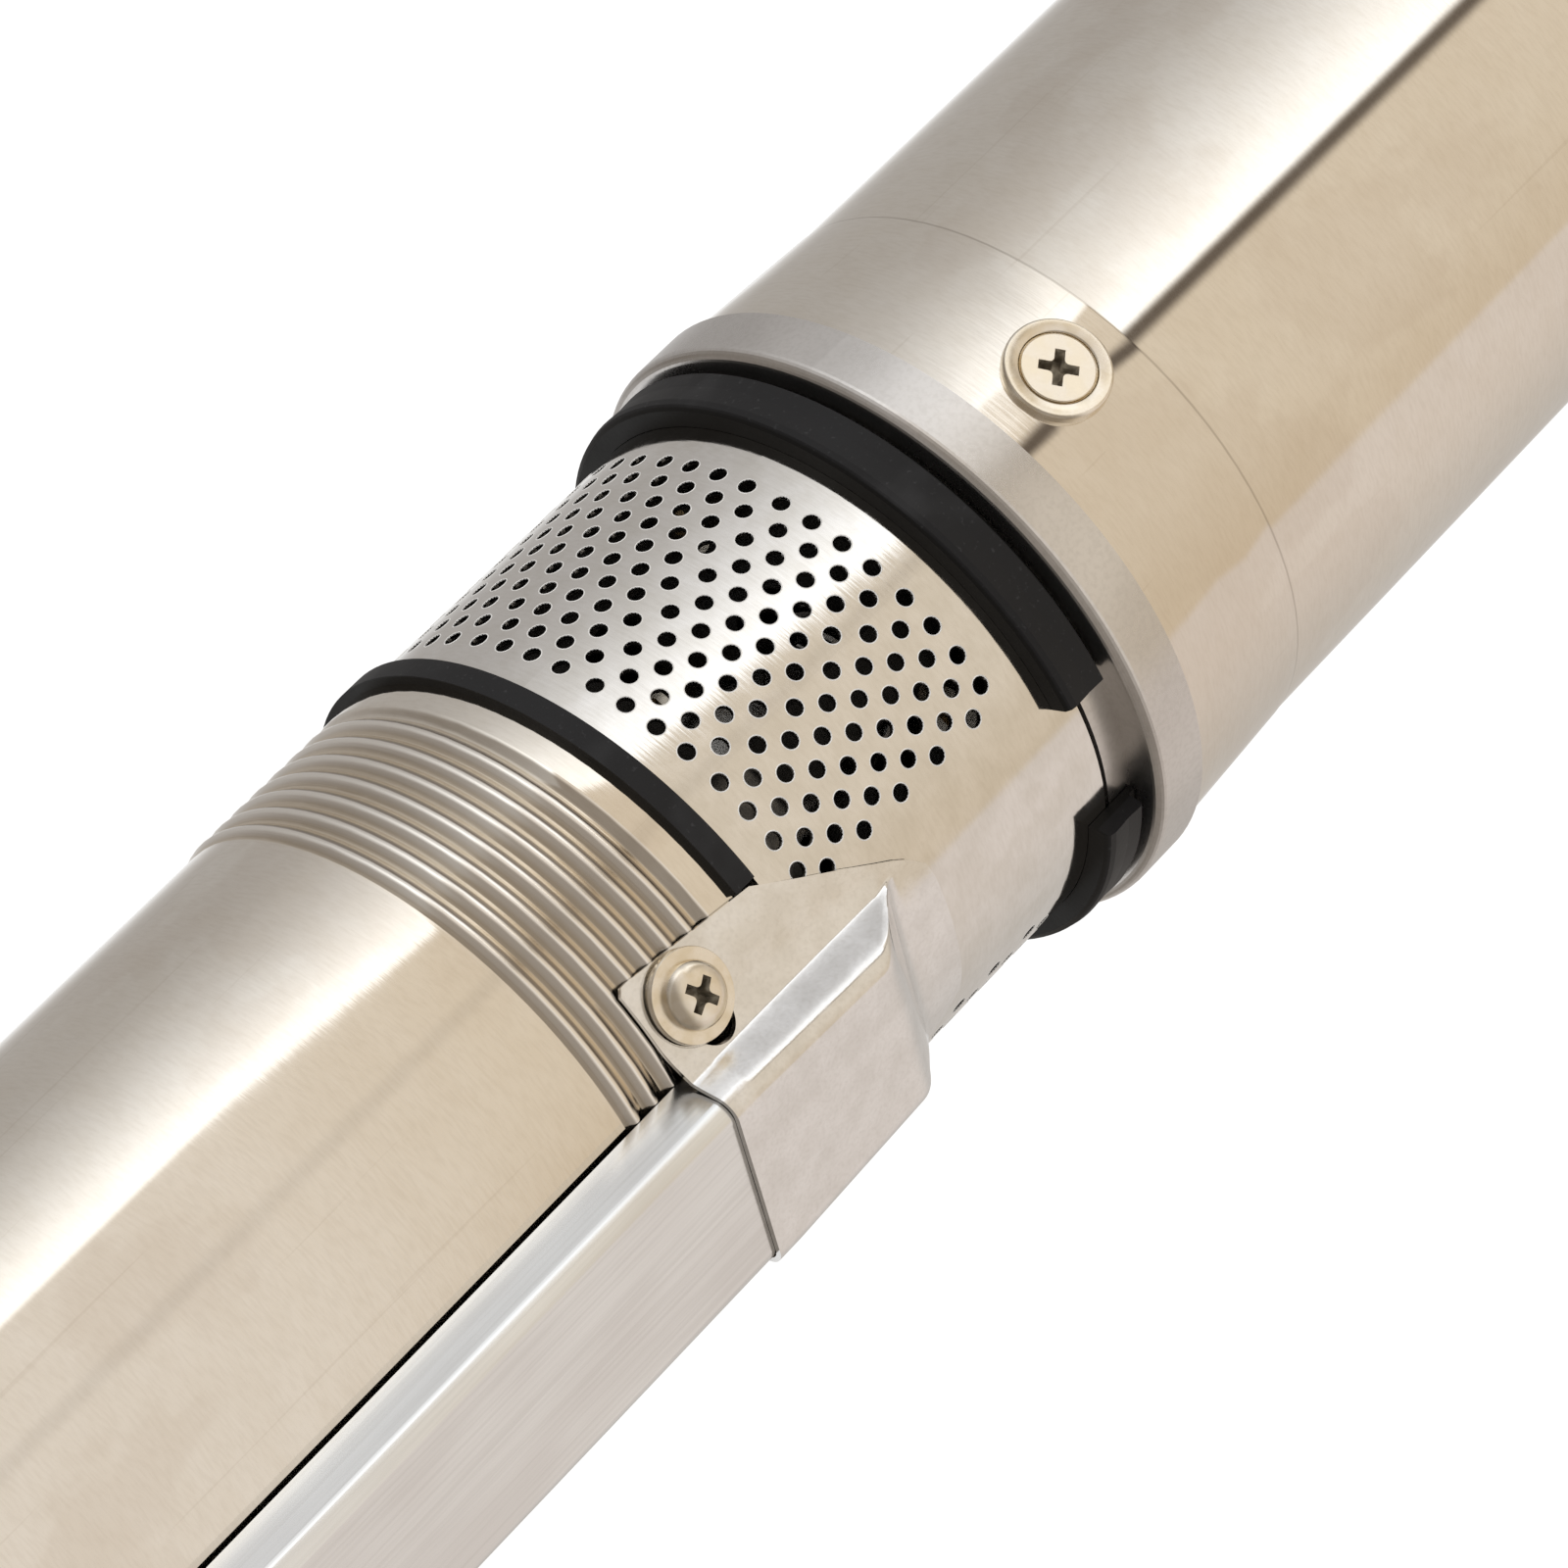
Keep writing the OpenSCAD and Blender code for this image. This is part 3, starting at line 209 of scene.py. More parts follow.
lamp = bpy.data.lights.new("softbox", "AREA")
lamp.shape = "RECTANGLE"
lamp_side = 1.2
lamp_reach = 1.5
lamp.size = lamp_side
lamp.size_y = lamp_side
lamp.energy = 14
box_light = bpy.data.objects.new("softbox", lamp)
place = aim + lamp_reach * (0.75 * toward - 0.55 * across + 0.75 * axis)
aim_at = (place - aim).to_track_quat("Z", "Y")
box_light.matrix_world = Matrix.Translation(place) @ aim_at.to_matrix().to_4x4()
box_light.visible_camera = False
box_light.visible_glossy = False
bpy.context.scene.collection.objects.link(box_light)


# Motor shaft, pump shaft, coupling, sleeve and bearing rings: turned and ground steel, with fine
# turning rings round the axis.
def finish(name, colour, metallic, roughness):
    """A new material with its shader, and the object coordinates as a wire."""
    made = bpy.data.materials.new(name)
    made.use_nodes = True
    tree = made.node_tree
    shader = tree.nodes["Principled BSDF"]
    shader.inputs["Base Color"].default_value = (*colour, 1)
    shader.inputs["Metallic"].default_value = metallic
    shader.inputs["Roughness"].default_value = roughness
    return made, shader, Wire(tree, tree.nodes.new("ShaderNodeTexCoord").outputs["Object"])


def feed(shader, name, wire):
    wire.tree.links.new(wire.socket, shader.inputs[name])


def bumped(shader, dents, depth):
    """Shades a height wire as dents of a depth in metres."""
    bump = dents.node("Bump", None, {"Height": dents, "Distance": depth, "Strength": 1.0})
    feed(shader, "Normal", bump)


def dress(material, *names):
    """Gives CAD nodes a material."""
    for name in names:
        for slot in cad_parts[name].material_slots:
            slot.material = material


ground_steel, shader, where = finish("ground_steel", (0.62, 0.61, 0.59), 1.0, 0.25)
turned = where.stretched((60, 60, 3800)).noise(1.0, 3.0)
feed(shader, "Roughness", 0.18 + 0.16 * turned)
bumped(shader, turned, 0.00001)
dress(ground_steel, "motor_shaft", "pump_shaft", "coupling", "top_sleeve", "coupling_key",
      "seal_spring", "seat_circlip", "upper_bearing_outer", "upper_bearing_inner", "lower_bearing_outer",
      "lower_bearing_inner", "upper_bearing_cage", "lower_bearing_cage")


# Valve spring: a coil of round wire between the valve's disc and its guide, which on the pump shortens by
# the valve's lift. It stands for the CAD spring and is built at one length.
def solid(name, made, material):
    """Turns a bmesh into an object of the scene, smooth but for its sharp edges."""
    mesh = bpy.data.meshes.new(name)
    made.to_mesh(mesh)
    made.free()
    for face in mesh.polygons:
        face.use_smooth = True
    mesh.set_sharp_from_angle(angle=math.radians(38))
    mesh.materials.append(material)
    piece = bpy.data.objects.new(name, mesh)
    bpy.context.scene.collection.objects.link(piece)
    return piece


spring_low, spring_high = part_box("valve_spring")
wire = 0.0007
coil_r = spring_high.x - wire
sides = 10
turns = 6
steps = 24
rise = spring_high.z - spring_low.z - 2 * wire
coil = bmesh.new()
wire_start = Matrix.Translation((coil_r, 0, spring_low.z + wire)) @ Matrix.Rotation(math.pi / 2, 4, "X")
bmesh.ops.create_circle(coil, cap_ends=True, segments=sides, radius=wire, matrix=wire_start)
bmesh.ops.spin(coil, geom=coil.verts[:] + coil.edges[:] + coil.faces[:], cent=(0, 0, 0), axis=(0, 0, 1),
               dvec=(0, 0, rise / (turns * steps)), angle=2 * math.pi * turns, steps=turns * steps)
bmesh.ops.recalc_face_normals(coil, faces=coil.faces)
spring = solid("lift_spring", coil, ground_steel)
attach(spring, "housing")
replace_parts(spring, "valve_spring")
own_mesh(spring)


# Rotor and stator cores: stacks of half-millimetre electrical sheet, punched and pressed together, so
# their sides show fine layers.
core_steel, shader, where = finish("core_steel", (0.20, 0.205, 0.22), 1.0, 0.5)
_, _, level = where.axes()
core_sheet_t = 0.0005
stack = level * (1 / core_sheet_t)
layers = stack.math("FRACT", stack).step(0.0, 0.25)
feed(shader, "Base Color", layers.tint((0.05, 0.05, 0.055), (0.24, 0.245, 0.26)))
feed(shader, "Roughness", 0.62 - 0.2 * layers)
dress(core_steel, "stator_core", "rotor_core")


# Winding heads: enamelled copper wire in bundles round the stator's ends, laced, varnished and baked, so
# the strands lie aslant under a dark gloss.
copper, shader, where = finish("varnished_copper", (0.45, 0.17, 0.06), 0.6, 0.35)
east, north, level = where.axes()
around = north.math("ARCTAN2", north, east)
wound = around * 300 + level * 5200
strands = wound.math("SINE", wound) * 0.5 + 0.5
feed(shader, "Base Color", strands.tint((0.16, 0.05, 0.02), (0.55, 0.23, 0.09)))
bumped(shader, strands, 0.0002)
dress(copper, "winding_top", "winding_bottom")


# Seal rings: a white ceramic seat fixed in the bracket and a black carbon face that turns with the shaft,
# both lapped flat.
ceramic, shader, where = finish("seal_ceramic", (0.80, 0.78, 0.72), 0.0, 0.18)
feed(shader, "Roughness", 0.14 + 0.1 * where.noise(700.0))
dress(ceramic, "seal_seat")
carbon, shader, where = finish("seal_carbon", (0.03, 0.03, 0.032), 0.0, 0.35)
feed(shader, "Roughness", 0.28 + 0.16 * where.noise(900.0))
dress(carbon, "seal_face")


# Castings: end brackets, base cap, spider and discharge head are stainless castings with turned faces,
# satin from glass beads.
cast, shader, where = finish("satin_cast_steel", (0.60, 0.57, 0.53), 1.0, 0.4)
grain = where.noise(1500.0, 3.0)
cloud = where.noise(60.0, 3.0)
clean = cloud.step(0.3, 0.75).tint((0.64, 0.62, 0.60), (0.74, 0.72, 0.70))
feed(shader, "Base Color", (grain.step(0.4, 0.7) * 0.18).tint(clean, (0.44, 0.42, 0.39)))
feed(shader, "Roughness", 0.20 + 0.12 * cloud + 0.06 * grain)
bumped(shader, grain, 0.000002)
dress(cast, "upper_bracket", "discharge_head", "base_cap", "lower_bracket", "bearing_spider")


# Inlet casing: the same casting, painted near-black as the shade inside the pump, and it is what shows
# through the strainer's holes. A machined band at the top centres the strainer; its bright colour is kept
# to one window of bearings, a painted highlight.
shaded_casting, shader, where = finish("casting_painted_dark", (0.05, 0.046, 0.042), 0.5, 0.6)
z_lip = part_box("strainer")[1].z
east, north, level = where.axes()
around = north.math("ARCTAN2", north, east) * (180 / math.pi)
band_low = z_lip - 0.0125
band_fade = 0.001
band_bearing = -53
# Painted highlight: the machined band is bright only in this window of bearings.
lit_window = 1 - (around - band_bearing).size().step(13.0, 17.0)
machined_lit_band = level.step(band_low, band_low + band_fade) * lit_window
grit = where.noise(700.0, 3.0)
# Painted shade: the casting's near-black colour stands for the shade inside the pump.
scaled = grit.tint((0.022, 0.020, 0.018), (0.07, 0.064, 0.058))
feed(shader, "Base Color", machined_lit_band.tint(scaled, (0.34, 0.32, 0.29)))
feed(shader, "Roughness", 0.65 - 0.3 * machined_lit_band)
bumped(shader, grit, 0.0001)
dress(shaded_casting, "inlet_casing")


# Bright screws and nuts that stay inside or below: cold-headed steel with nickel plate, which has a
# light haze.
nickel, shader, where = finish("nickel_plate", (0.72, 0.66, 0.56), 1.0, 0.22)
haze = where.noise(420.0, 3.0)
feed(shader, "Base Color", haze.step(0.3, 0.7).tint((0.80, 0.72, 0.58), (0.90, 0.84, 0.74)))
feed(shader, "Roughness", 0.14 + 0.2 * haze)
bumped(shader, haze, 0.00001)
dress(nickel, "inlet_bolts", "base_screws", "shaft_nut")


# Brass pieces: valve seat, guide and poppet and the motor's filling plug, turned from bar, with fine
# tool marks round the axis.
brass, shader, where = finish("turned_brass", (0.72, 0.50, 0.20), 1.0, 0.25)
cuts = where.stretched((90, 90, 3000)).noise(1.0, 2.0)
feed(shader, "Roughness", 0.18 + 0.2 * cuts)
bumped(shader, cuts, 0.00001)
dress(brass, "valve_seat", "valve_guide", "valve_poppet", "fill_plug")


# Stage bowls and impellers: injection-moulded plastic with the fine spark texture of its mould, pale
# bowls and slightly warmer impellers.
for name, colour, pieces in (("bowl_plastic", (0.62, 0.62, 0.60), "stage_bowl_"),
                             ("impeller_plastic", (0.66, 0.60, 0.46), "impeller_")):
    plastic, shader, where = finish(name, colour, 0.0, 0.38)
    spark = where.noise(1200.0, 2.0)
    feed(shader, "Roughness", 0.32 + 0.14 * spark)
    bumped(shader, spark, 0.00003)
    dress(plastic, *[pieces + str(i) for i in range(1, 7)])


# Motor tube and pump tube: thin stainless tube, turned against a polishing belt, which leaves fine rings
# round the axis, faint swirls and smears. The flare and the rolled ridges keep the same polish. The ridges
# carry painted light: light crests, darker grooves and a dark band on one flank, and a painted shade line
# marks where the flare starts.
tube_steel, shader, where = finish("polished_tube", (0.82, 0.775, 0.70), 1.0, 0.07)
rings = where.stretched((40, 40, 2600)).noise(1.0, 3.0)
swirl = where.stretched((1, 1, 1.6)).noise(160.0, 4.0)
smear = where.noise(26.0, 3.0)
_, _, level = where.axes()
tube_low, tube_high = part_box("pump_tube")
ridge_pitch = 0.00326
ridge_start = 0.0054
ridge_middle = 0.0168
groove_r = 0.03862
crest_r = 0.03912
flare_len = 0.0225
tube_middle = (tube_low.z + tube_high.z) / 2
from_end = (tube_high.z - tube_low.z) / 2 - (level - tube_middle).size()
ridged = 1 - (from_end - ridge_middle).size().step(0.0108, 0.0120)
feed(shader, "Roughness", 0.045 + 0.05 * smear.step(0.4, 0.75) + 0.02 * rings + 0.13 * ridged)
clean = (smear * 0.5 + swirl * 0.5).step(0.3, 0.72).tint((0.80, 0.75, 0.67), (0.845, 0.805, 0.74))
scuffs = where.stretched((500, 500, 2400)).noise(1.0, 3.0).step(0.35, 0.75)
clean = (scuffs * 0.14).tint(clean, (0.52, 0.46, 0.38))
stain = where.stretched((1, 1, 0.6)).noise(38.0, 5.0)
clean = (stain.step(0.53, 0.58) * 0.16).tint(clean, (0.58, 0.49, 0.40))
scratch = where.stretched((900, 900, 14)).noise(1.0, 2.0)
clean = (scratch.step(0.68, 0.74) * 0.15).tint(clean, (0.50, 0.43, 0.35))
east, north, _ = where.axes()
radius = (east * east + north * north) ** 0.5
# Painted highlight and shade: the ridges' crests get a light colour and their grooves a darker one.
lit_crests = radius.step(groove_r, crest_r)
ridge_light_and_lines = lit_crests.tint((0.74, 0.66, 0.54), (0.88, 0.84, 0.78))
ridge_count = (from_end - ridge_start) * (1 / ridge_pitch)
phase = ridge_count.math("FRACT", ridge_count)
# Painted reflection: a dark band on each ridge's flank towards the strainer.
painted_dark_flank = 1 - (phase - 0.29).size().step(0.05, 0.16)
ridge_light_and_lines = (painted_dark_flank * 0.85).tint(ridge_light_and_lines, (0.22, 0.18, 0.14))
lines = where.stretched((20, 20, 5200)).noise(1.0, 3.0).step(0.5, 0.75) * (1 - lit_crests) * 0.35
ridge_light_and_lines = lines.tint(ridge_light_and_lines, (0.40, 0.33, 0.25))
z_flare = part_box("motor_tube")[1].z - flare_len
# Painted shade: a dark line round the tube where the flare starts.
painted_step_shade = 1 - (level - z_flare).size().step(0.0001, 0.0003)
feed(shader, "Base Color", (painted_step_shade * 0.35).tint(ridged.tint(clean, ridge_light_and_lines), (0.16, 0.13, 0.10)))
bumped(shader, rings * 0.3 + swirl * 0.4 + rings * ridged * 2, 0.000006)
dress(tube_steel, "motor_tube", "pump_tube")
for name in ("motor_tube", "pump_tube"):
    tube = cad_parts[name]
    seam = tube.modifiers.new("seam", "WELD")
    seam.merge_threshold = 1e-6
    corners = tube.modifiers.new("corners", "EDGE_SPLIT")
    corners.split_angle = math.radians(25)
    tube.modifiers.new("even_shading", "WEIGHTED_NORMAL")


# Strainer: rolled from perforated stainless sheet, greyer than the tubes, polished before the holes were
# punched, so each hole keeps a rolled edge. The edges' pale colour is a painted highlight, and the sheet's
# inner face is painted dark as shade.
sheet, shader, where = finish("strainer_sheet", (0.80, 0.785, 0.755), 1.0, 0.09)
rings = where.stretched((60, 60, 2200)).noise(1.0, 3.0)
swirl = where.noise(220.0, 4.0)
east, north, _ = where.axes()
radius = (east * east + north * north) ** 0.5
sheet_r = 0.0392
# Painted shade: the sheet's inner face is near-black, the shade inside the pump.
inside = 1 - radius.step(sheet_r - 0.0006, sheet_r - 0.0004)
feed(shader, "Roughness", 0.06 + 0.05 * swirl.step(0.45, 0.75) + 0.03 * rings + 0.45 * inside)
clean = swirl.step(0.3, 0.72).tint((0.77, 0.75, 0.71), (0.84, 0.825, 0.80))
scuffs = where.stretched((600, 600, 2200)).noise(1.0, 3.0).step(0.35, 0.75)
clean = (scuffs * 0.14).tint(clean, (0.50, 0.46, 0.40))
feed(shader, "Base Color", inside.tint(clean, (0.06, 0.055, 0.05)))
bumped(shader, rings * 0.6 + swirl * 0.6, 0.000008)
dress(sheet, "strainer")


def lathe(profile, segments=56):
    """A closed ring from radius and height pairs, or a full solid where its ends lie on the axis."""
    made = bmesh.new()
    verts = [made.verts.new((r, 0, h)) for r, h in profile]
    edges = [made.edges.new(pair) for pair in zip(verts, verts[1:])]
    if profile[0][0] > 0:
        edges.append(made.edges.new((verts[-1], verts[0])))
    bmesh.ops.spin(made, geom=verts + edges, cent=(0, 0, 0), axis=(0, 0, 1), angle=2 * math.pi,
                   steps=segments, use_merge=True)
    bmesh.ops.remove_doubles(made, verts=made.verts, dist=1e-7)
    bmesh.ops.recalc_face_normals(made, faces=made.faces)
    return made


hole_rows = 11
row_pitch = 0.003457
first_row = 0.00515
holes_a_side = 22
hole_step = 6.78
blank_half = 28
group_gap = 0.9
group_size = 4
rim = lathe([(0.00113, -0.0001), (0.00115, 0.00001), (0.00121, 0.00005), (0.00130, -0.00001)], 16)
rim_mesh = bpy.data.meshes.new("rim")
rim.to_mesh(rim_mesh)
rim.free()
rims = bmesh.new()
for row in range(hole_rows):
    inset = (row + 1) % 2
    for turned, i in [(turned, i) for turned in (-1, 1) for i in range(holes_a_side - inset)]:
        round_axis = blank_half + hole_step * (i + inset / 2) + group_gap * (i // group_size)
        angle = math.radians(-90 + turned * round_axis)
        first = len(rims.verts)
        rims.from_mesh(rim_mesh)
        rims.verts.ensure_lookup_table()
        for vert in rims.verts[first:]:
            turn_to = angle + vert.co.x / sheet_r
            out = sheet_r + vert.co.z
            z = z_lip - first_row - row * row_pitch + vert.co.y
            vert.co = (out * math.cos(turn_to), out * math.sin(turn_to), z)
bmesh.ops.recalc_face_normals(rims, faces=rims.faces)
# Painted highlight: the rims' pale colour stands for the glint on each hole's rolled edge.
painted_rim_glint, shader, where = finish("painted_rim_glint", (0.90, 0.89, 0.87), 0.3, 0.35)
feed(shader, "Roughness", 0.30 + 0.1 * where.noise(500.0))
rims = solid("hole_rims", rims, painted_rim_glint)
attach(rims, "housing")


# Rubber pieces: the split ring, the strainer's gasket, sealing rings, gland, bush and the valve's washer,
# moulded in black rubber with a dull, faintly dusty face.
rubber, shader, where = finish("black_rubber", (0.012, 0.012, 0.013), 0.0, 0.55)
shader.inputs["Specular IOR Level"].default_value = 0.3
dust = where.noise(1500.0, 3.0)
film = where.noise(90.0, 3.0)
east, north, level = where.axes()
radius = (east * east + north * north) ** 0.5
# Painted shade: below this radius, and on the split ring's top face, the rubber is near-black, as in the
# grooves and gaps by the strainer.
shade_below_r = 0.04035
unshaded = radius.step(shade_below_r, shade_below_r + 0.0002)
ring_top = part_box("rubber_ring")[1].z
unshaded = unshaded * (level - ring_top).size().step(0.0002, 0.0004)
bloom = dust.step(0.62, 0.75) * 0.5 + film.step(0.5, 0.8) * 0.4
dusty = bloom.tint((0.008, 0.008, 0.009), (0.045, 0.045, 0.047))
feed(shader, "Base Color", unshaded.tint((0.002, 0.002, 0.002), dusty))
feed(shader, "Roughness", 0.46 + 0.2 * film)
bumped(shader, dust, 0.00002)
dress(rubber, "rubber_ring", "strainer_gasket", "bracket_oring", "base_oring", "cable_gland", "top_bush",
      "valve_washer")


# Cable guard: a channel pressed from stainless sheet, brushed along its length and smeared by handling,
# with two ears at its top that are screwed to the tube.
brushed, shader, where = finish("brushed_guard", (0.80, 0.785, 0.76), 1.0, 0.16)
strokes = where.stretched((1500, 1500, 24)).noise(1.0, 3.0)
smear = where.stretched((1, 1, 0.5)).noise(70.0, 3.0)
feed(shader, "Roughness", 0.12 + 0.08 * smear + 0.05 * strokes)
clean = smear.step(0.3, 0.7).tint((0.80, 0.805, 0.805), (0.88, 0.90, 0.905))
feed(shader, "Base Color", (strokes.step(0.35, 0.75) * 0.2).tint(clean, (0.52, 0.51, 0.49)))
bumped(shader, strokes, 0.000006)
dress(brushed, "cable_guard")


# Guard foot: a hood drawn from stainless sheet with a flange that lies on the tube and the strainer. The
# sheet is cut to its outline flat, drawn over a punch, bent round the tube, and given its thickness.
foot_steel, shader, where = finish("drawn_foot", (0.80, 0.775, 0.74), 1.0, 0.16)
rub = where.noise(240.0, 4.0)
buff = where.node("TexVoronoi", None, {"Vector": where, "Scale": 260.0})
ripple = buff * 46
arcs = ripple.math("SINE", ripple)
feed(shader, "Roughness", 0.11 + 0.1 * rub.step(0.35, 0.75))
clean = rub.step(0.3, 0.7).tint((0.79, 0.785, 0.775), (0.875, 0.875, 0.875))
scuffs = where.noise(1700.0, 3.0).step(0.4, 0.75)
feed(shader, "Base Color", (scuffs * 0.16).tint(clean, (0.52, 0.49, 0.45)))
bumped(shader, rub * 1.5 + arcs * 0.03, 0.000014)
foot_low, foot_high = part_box("guard_foot")
sheet_t = 0.0007
flange_r = 0.04015
hood_top = -foot_low.y - 0.00005
z_top = foot_high.z
z_tip = foot_low.z
z_gasket = z_top - 0.02335
z_brow = z_top - 0.0290
wall_at = 0.0142
wall_slope = 16
round_r = 0.0028
taper_from = z_top - 0.004
taper_len = 0.030
taper_in = 0.0014
brow_slope = 1.1
brow_round = 0.0022
skirt_w = 0.0028
skirt_h = 0.0028
skirt_slope = 0.9
skirt_taper = 0.0030
skirt_round = 0.0010
hood_round = 0.0036
flange_round = 0.0016


def pressed(blank, tool):
    """Cuts a tool's form out of a blank, and returns the shape without the two objects."""
    cut = blank.modifiers.new("cut", "BOOLEAN")
    cut.operation = "DIFFERENCE"
    cut.solver = "EXACT"
    cut.material_mode = "TRANSFER"
    cut.object = tool
    done = bmesh.new()
    done.from_object(blank, bpy.context.evaluated_depsgraph_get())
    for spare in (blank, tool):
        bpy.data.objects.remove(spare)
    return done


def soft_min(a, b, blend):
    """The smaller of two heights, with a round of a given size where they meet."""
    mix = max(0.0, min(1.0, 0.5 + 0.5 * (b - a) / blend))
    return b + (a - b) * mix - blend * mix * (1 - mix)


def foot_height(x, z):
    """How far from the pump's axis the drawn sheet's outer face lies."""
    x = abs(x)
    flange = math.sqrt(flange_r ** 2 - x ** 2)
    taper = max(0.0, min(1.2, (taper_from - z) / taper_len))
    turned_in = x - wall_at + taper_in * taper + round_r
    bend = max(0.0, min(turned_in, 0.993 * round_r))
    side_drop = wall_slope * max(0.0, turned_in - bend)
    hood = hood_top - round_r + math.sqrt(round_r ** 2 - bend ** 2) - side_drop
    brow = hood_top + brow_slope * (z - z_brow)
    hood = soft_min(hood, brow, brow_round)
    skirt_edge = wall_at + skirt_w - skirt_taper * taper
    skirt = flange + soft_min(skirt_slope * (skirt_edge - x), skirt_h, skirt_round)
    skirt = soft_min(skirt, brow, brow_round)
    drawn_in = -soft_min(-hood, -skirt, hood_round)
    return -soft_min(-drawn_in, -flange, flange_round)


shape = bmesh.new()
bmesh.ops.create_grid(shape, x_segments=210, y_segments=90, size=1)
coarse = 0.15
fine = 1 - 2 * coarse
top_half = 0.0108
drawn_w = 0.0070
flange_w = 0.0082
for vert in shape.verts:
    share = abs(vert.co.x)
    inner = min(share, coarse) / coarse * top_half
    drawn = min(max(share - coarse, 0), fine) / fine * drawn_w
    outer = max(share - coarse - fine, 0) / coarse * flange_w
    vert.co.x = math.copysign(inner + drawn + outer, vert.co.x)
    vert.co.z = z_tip + (z_top - z_tip) * (vert.co.y * 0.5 + 0.5)
    vert.co.y = 0
outline = [(0.0248, z_top), (0.0254, z_top - 0.0007), (0.0255, z_top - 0.0015), (0.0235, z_gasket),
           (0.0180, z_gasket - 0.0094), (0.0157, z_gasket - 0.0139), (0.0127, z_gasket - 0.0181),
           (0.0108, z_gasket - 0.0199), (0.0085, z_tip)]
for across_edge in (-1, 1):
    for (x0, z0), (x1, z1) in zip(outline, outline[1:]):
        normal = Vector((z1 - z0, 0, x0 - x1)) * -1
        normal.x *= across_edge
        bmesh.ops.bisect_plane(shape, geom=shape.verts[:] + shape.edges[:] + shape.faces[:], dist=1e-7,
                               plane_co=(across_edge * x0, 0, z0), plane_no=normal, clear_outer=True)
for vert in shape.verts:
    vert.co.y = -foot_height(vert.co.x, vert.co.z)
bmesh.ops.recalc_face_normals(shape, faces=shape.faces)
if sum(face.normal.y for face in shape.faces) > 0:
    bmesh.ops.reverse_faces(shape, faces=shape.faces)
foot = solid("flat_sheet", shape, foot_steel)
wall = foot.modifiers.new("sheet", "SOLIDIFY")
wall.thickness = sheet_t
wall.offset = -1
screw_bearings = (-30.3, 30.3)
slot_shift = 5.3
slot_drop = 0.0075
slot_r = 0.0032
slots = bmesh.new()
for turned in screw_bearings:
    angle = math.radians(-90 + turned - math.copysign(slot_shift, turned))
    out = Matrix.Rotation(angle, 4, "Z") @ Matrix.Translation((flange_r, 0, z_top - slot_drop))
    bmesh.ops.create_cone(slots, cap_ends=True, segments=40, radius1=slot_r, radius2=slot_r, depth=0.006,
                          matrix=out @ Matrix.Rotation(math.pi / 2, 4, "Y"))
foot = solid("drawn_foot", pressed(foot, solid("slot_punch", slots, foot_steel)), foot_steel)
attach(foot, "housing")
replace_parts(foot, "guard_foot")


# Cup washers and countersunk screws that pin the motor tube's flare to the bracket: the washers are
# turned with a rounded rim, the screws cold-headed with a cross recess, all nickel-plated.
# Painted shade: the cross recesses' walls and floors are dark brown, the shade inside them.
painted_recess_shade, shader, where = finish("recess_painted_shade", (0.30, 0.25, 0.18), 0.4, 0.36)
recess_shade_mottle = where.noise(900.0, 3.0).step(0.35, 0.75)
feed(shader, "Base Color", recess_shade_mottle.tint((0.16, 0.13, 0.09), (0.48, 0.42, 0.32)))


def recessed(made, top, span, wing, depth):
    """Presses a cross recess with four tapered wings and hollow corners into a head's top face."""
    punch = bmesh.new()
    overshoot = Vector((0, 0, top + 0.0003))
    draft = 0.75
    corner = wing * 0.5
    outline = []
    for quarter in range(4):
        facing = Matrix.Rotation(quarter * math.pi / 2, 3, "Z")
        points = [Vector((span / 2, -wing / 2, 0)), Vector((span / 2, wing / 2, 0))]
        for step in range(5):
            swing = math.radians(270 - 22.5 * step)
            centre = wing / 2 + corner
            points.append(Vector((centre + corner * math.cos(swing), centre + corner * math.sin(swing), 0)))
        outline += [facing @ point for point in points]
    face = punch.faces.new([punch.verts.new(point + overshoot) for point in outline])
    deep = bmesh.ops.extrude_face_region(punch, geom=[face])["geom"]
    for vert in [part for part in deep if isinstance(part, bmesh.types.BMVert)]:
        vert.co = (vert.co.x * draft, vert.co.y * draft, top - depth)
    bmesh.ops.recalc_face_normals(punch, faces=punch.faces)
    return pressed(solid("head", made, nickel), solid("punch", punch, painted_recess_shade))


def placed(name, pattern, places):
    """Copies one turned piece to several places and returns them as one object."""
    made = bmesh.new()
    for place in places:
        copy = bpy.data.meshes.new("copy")
        pattern.to_mesh(copy)
        copy.transform(place)
        made.from_mesh(copy)
        bpy.data.meshes.remove(copy)
    pattern.free()
    piece = solid(name, made, nickel)
    piece.data.materials.append(painted_recess_shade)
    round_edges = piece.modifiers.new("edges", "BEVEL")
    round_edges.width = 0.00007
    round_edges.segments = 2
    round_edges.limit_method = "ANGLE"
    round_edges.angle_limit = math.radians(38)
    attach(piece, "housing")
    return piece


def standing(angle, radius, z, spin):
    """The place of a screw whose axis points away from the pump's axis."""
    out = Matrix.Rotation(math.radians(angle), 4, "Z") @ Matrix.Translation((radius, 0, z))
    return out @ Matrix.Rotation(math.pi / 2, 4, "Y") @ Matrix.Rotation(math.radians(spin), 4, "Z")


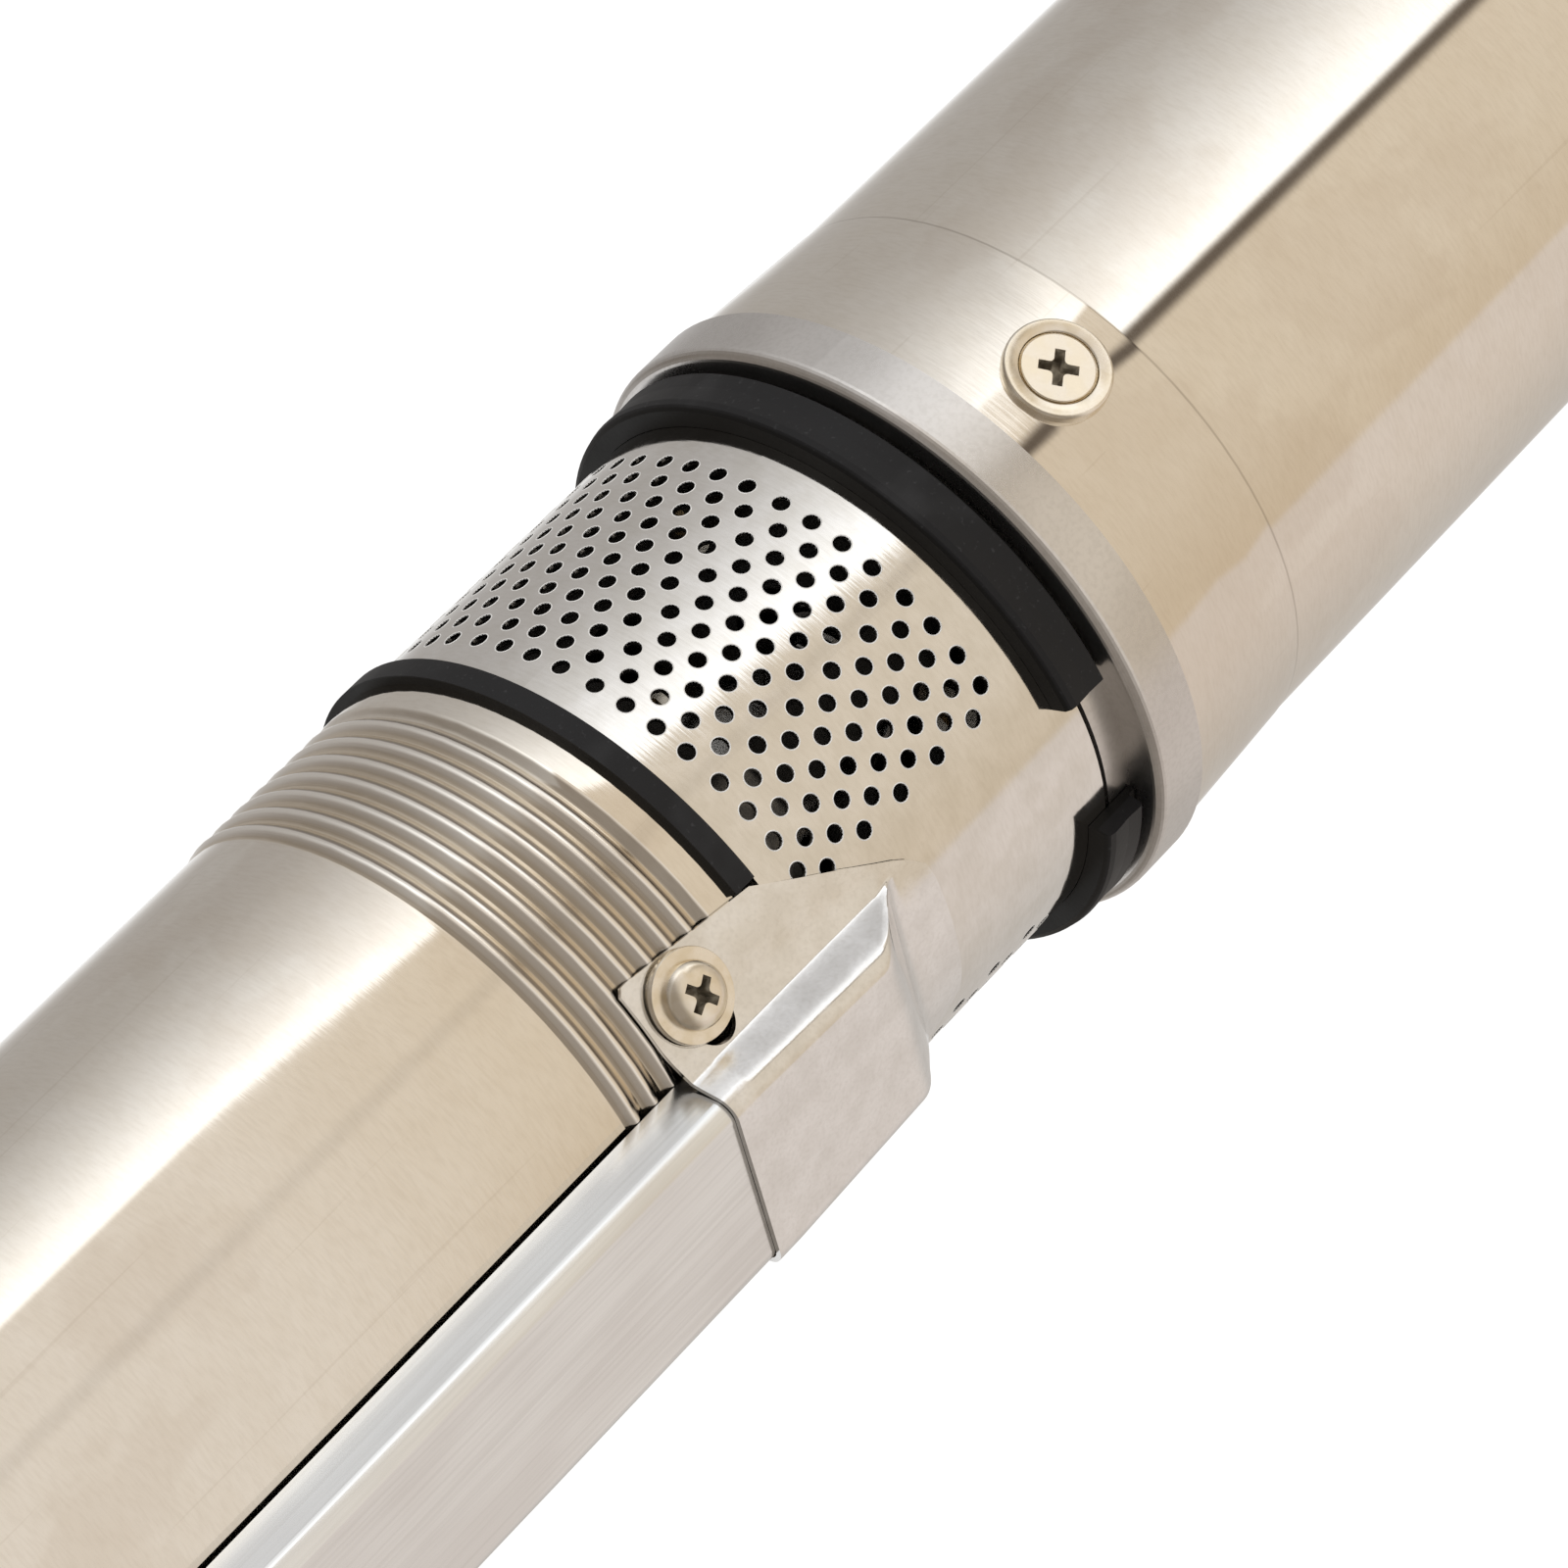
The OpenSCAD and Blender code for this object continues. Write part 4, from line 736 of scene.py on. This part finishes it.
washer_low, washer_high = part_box("cup_washers")
z_cup = (washer_low.z + washer_high.z) / 2
cup_top = 0.0013
cup_r = 0.0069
cup_spin = 34
shank_r = 0.0025
pin_end = -0.0099
pin_top = cup_top - 0.00005
flare_at = washer_high.y - 0.0015
cup_places = [standing(angle, flare_at, z_cup, cup_spin) for angle in (-30, 90, 210)]
cup = lathe([(0.0026, 0.0001), (0.0026, -0.0006), (cup_r, -0.0006), (cup_r, cup_top - 0.0005),
             (0.00682, cup_top - 0.0002), (0.0066, cup_top), (0.0052, cup_top), (0.00502, cup_top - 0.0001),
             (0.0049, cup_top - 0.0004)])
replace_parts(placed("cup_washer_set", cup, cup_places), "cup_washers")
pin = lathe([(0, pin_end), (0.0021, pin_end), (shank_r, pin_end + 0.0004), (shank_r, -0.0002),
             (0.0046, cup_top - 0.0004), (0.0047, cup_top - 0.0002), (0.0046, pin_top), (0, pin_top)])
pin = recessed(pin, pin_top, span=0.0052, wing=0.0013, depth=0.0022)
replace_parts(placed("bracket_screw_set", pin, cup_places), "bracket_screws")


# Guard screws: cross-recess screws with a domed head and a loose washer under it, two in the foot and two
# in the channel's ears, driven into the spigots inside the tube.
screw_low, screw_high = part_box("guard_screws")
washer_r = 0.00575
washer_top = 0.0011
dome_r = 0.00415
dome_top = 0.0032
dome_seat = washer_top + 0.00001
screw_end = -0.0070
guard_spin = 32
z_screws = (screw_low.z + washer_r, screw_high.z - washer_r)
seat_at = flange_r + 0.00005
guard_places = [standing(-90 + turned, seat_at, z, guard_spin) for turned in screw_bearings
                for z in z_screws]
washer = lathe([(0.0027, 0.00005), (0.0053, 0.00005), (0.0053, 0.0003), (washer_r, 0.0003),
                (washer_r, 0.00095), (0.00565, washer_top), (0.0027, washer_top)])
dome = lathe([(0, screw_end), (0.0021, screw_end), (shank_r, screw_end + 0.0004), (shank_r, dome_seat),
              (dome_r, dome_seat), (dome_r, 0.0016), (0.00395, 0.0022), (0.0034, 0.0027), (0.0025, 0.0030),
              (0.0013, 0.00316), (0, dome_top)])
dome = recessed(dome, dome_top, span=0.0048, wing=0.0012, depth=0.0024)
washer_mesh = bpy.data.meshes.new("washer")
washer.to_mesh(washer_mesh)
dome.from_mesh(washer_mesh)
washer.free()
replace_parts(placed("guard_screw_set", dome, guard_places), "guard_screws")
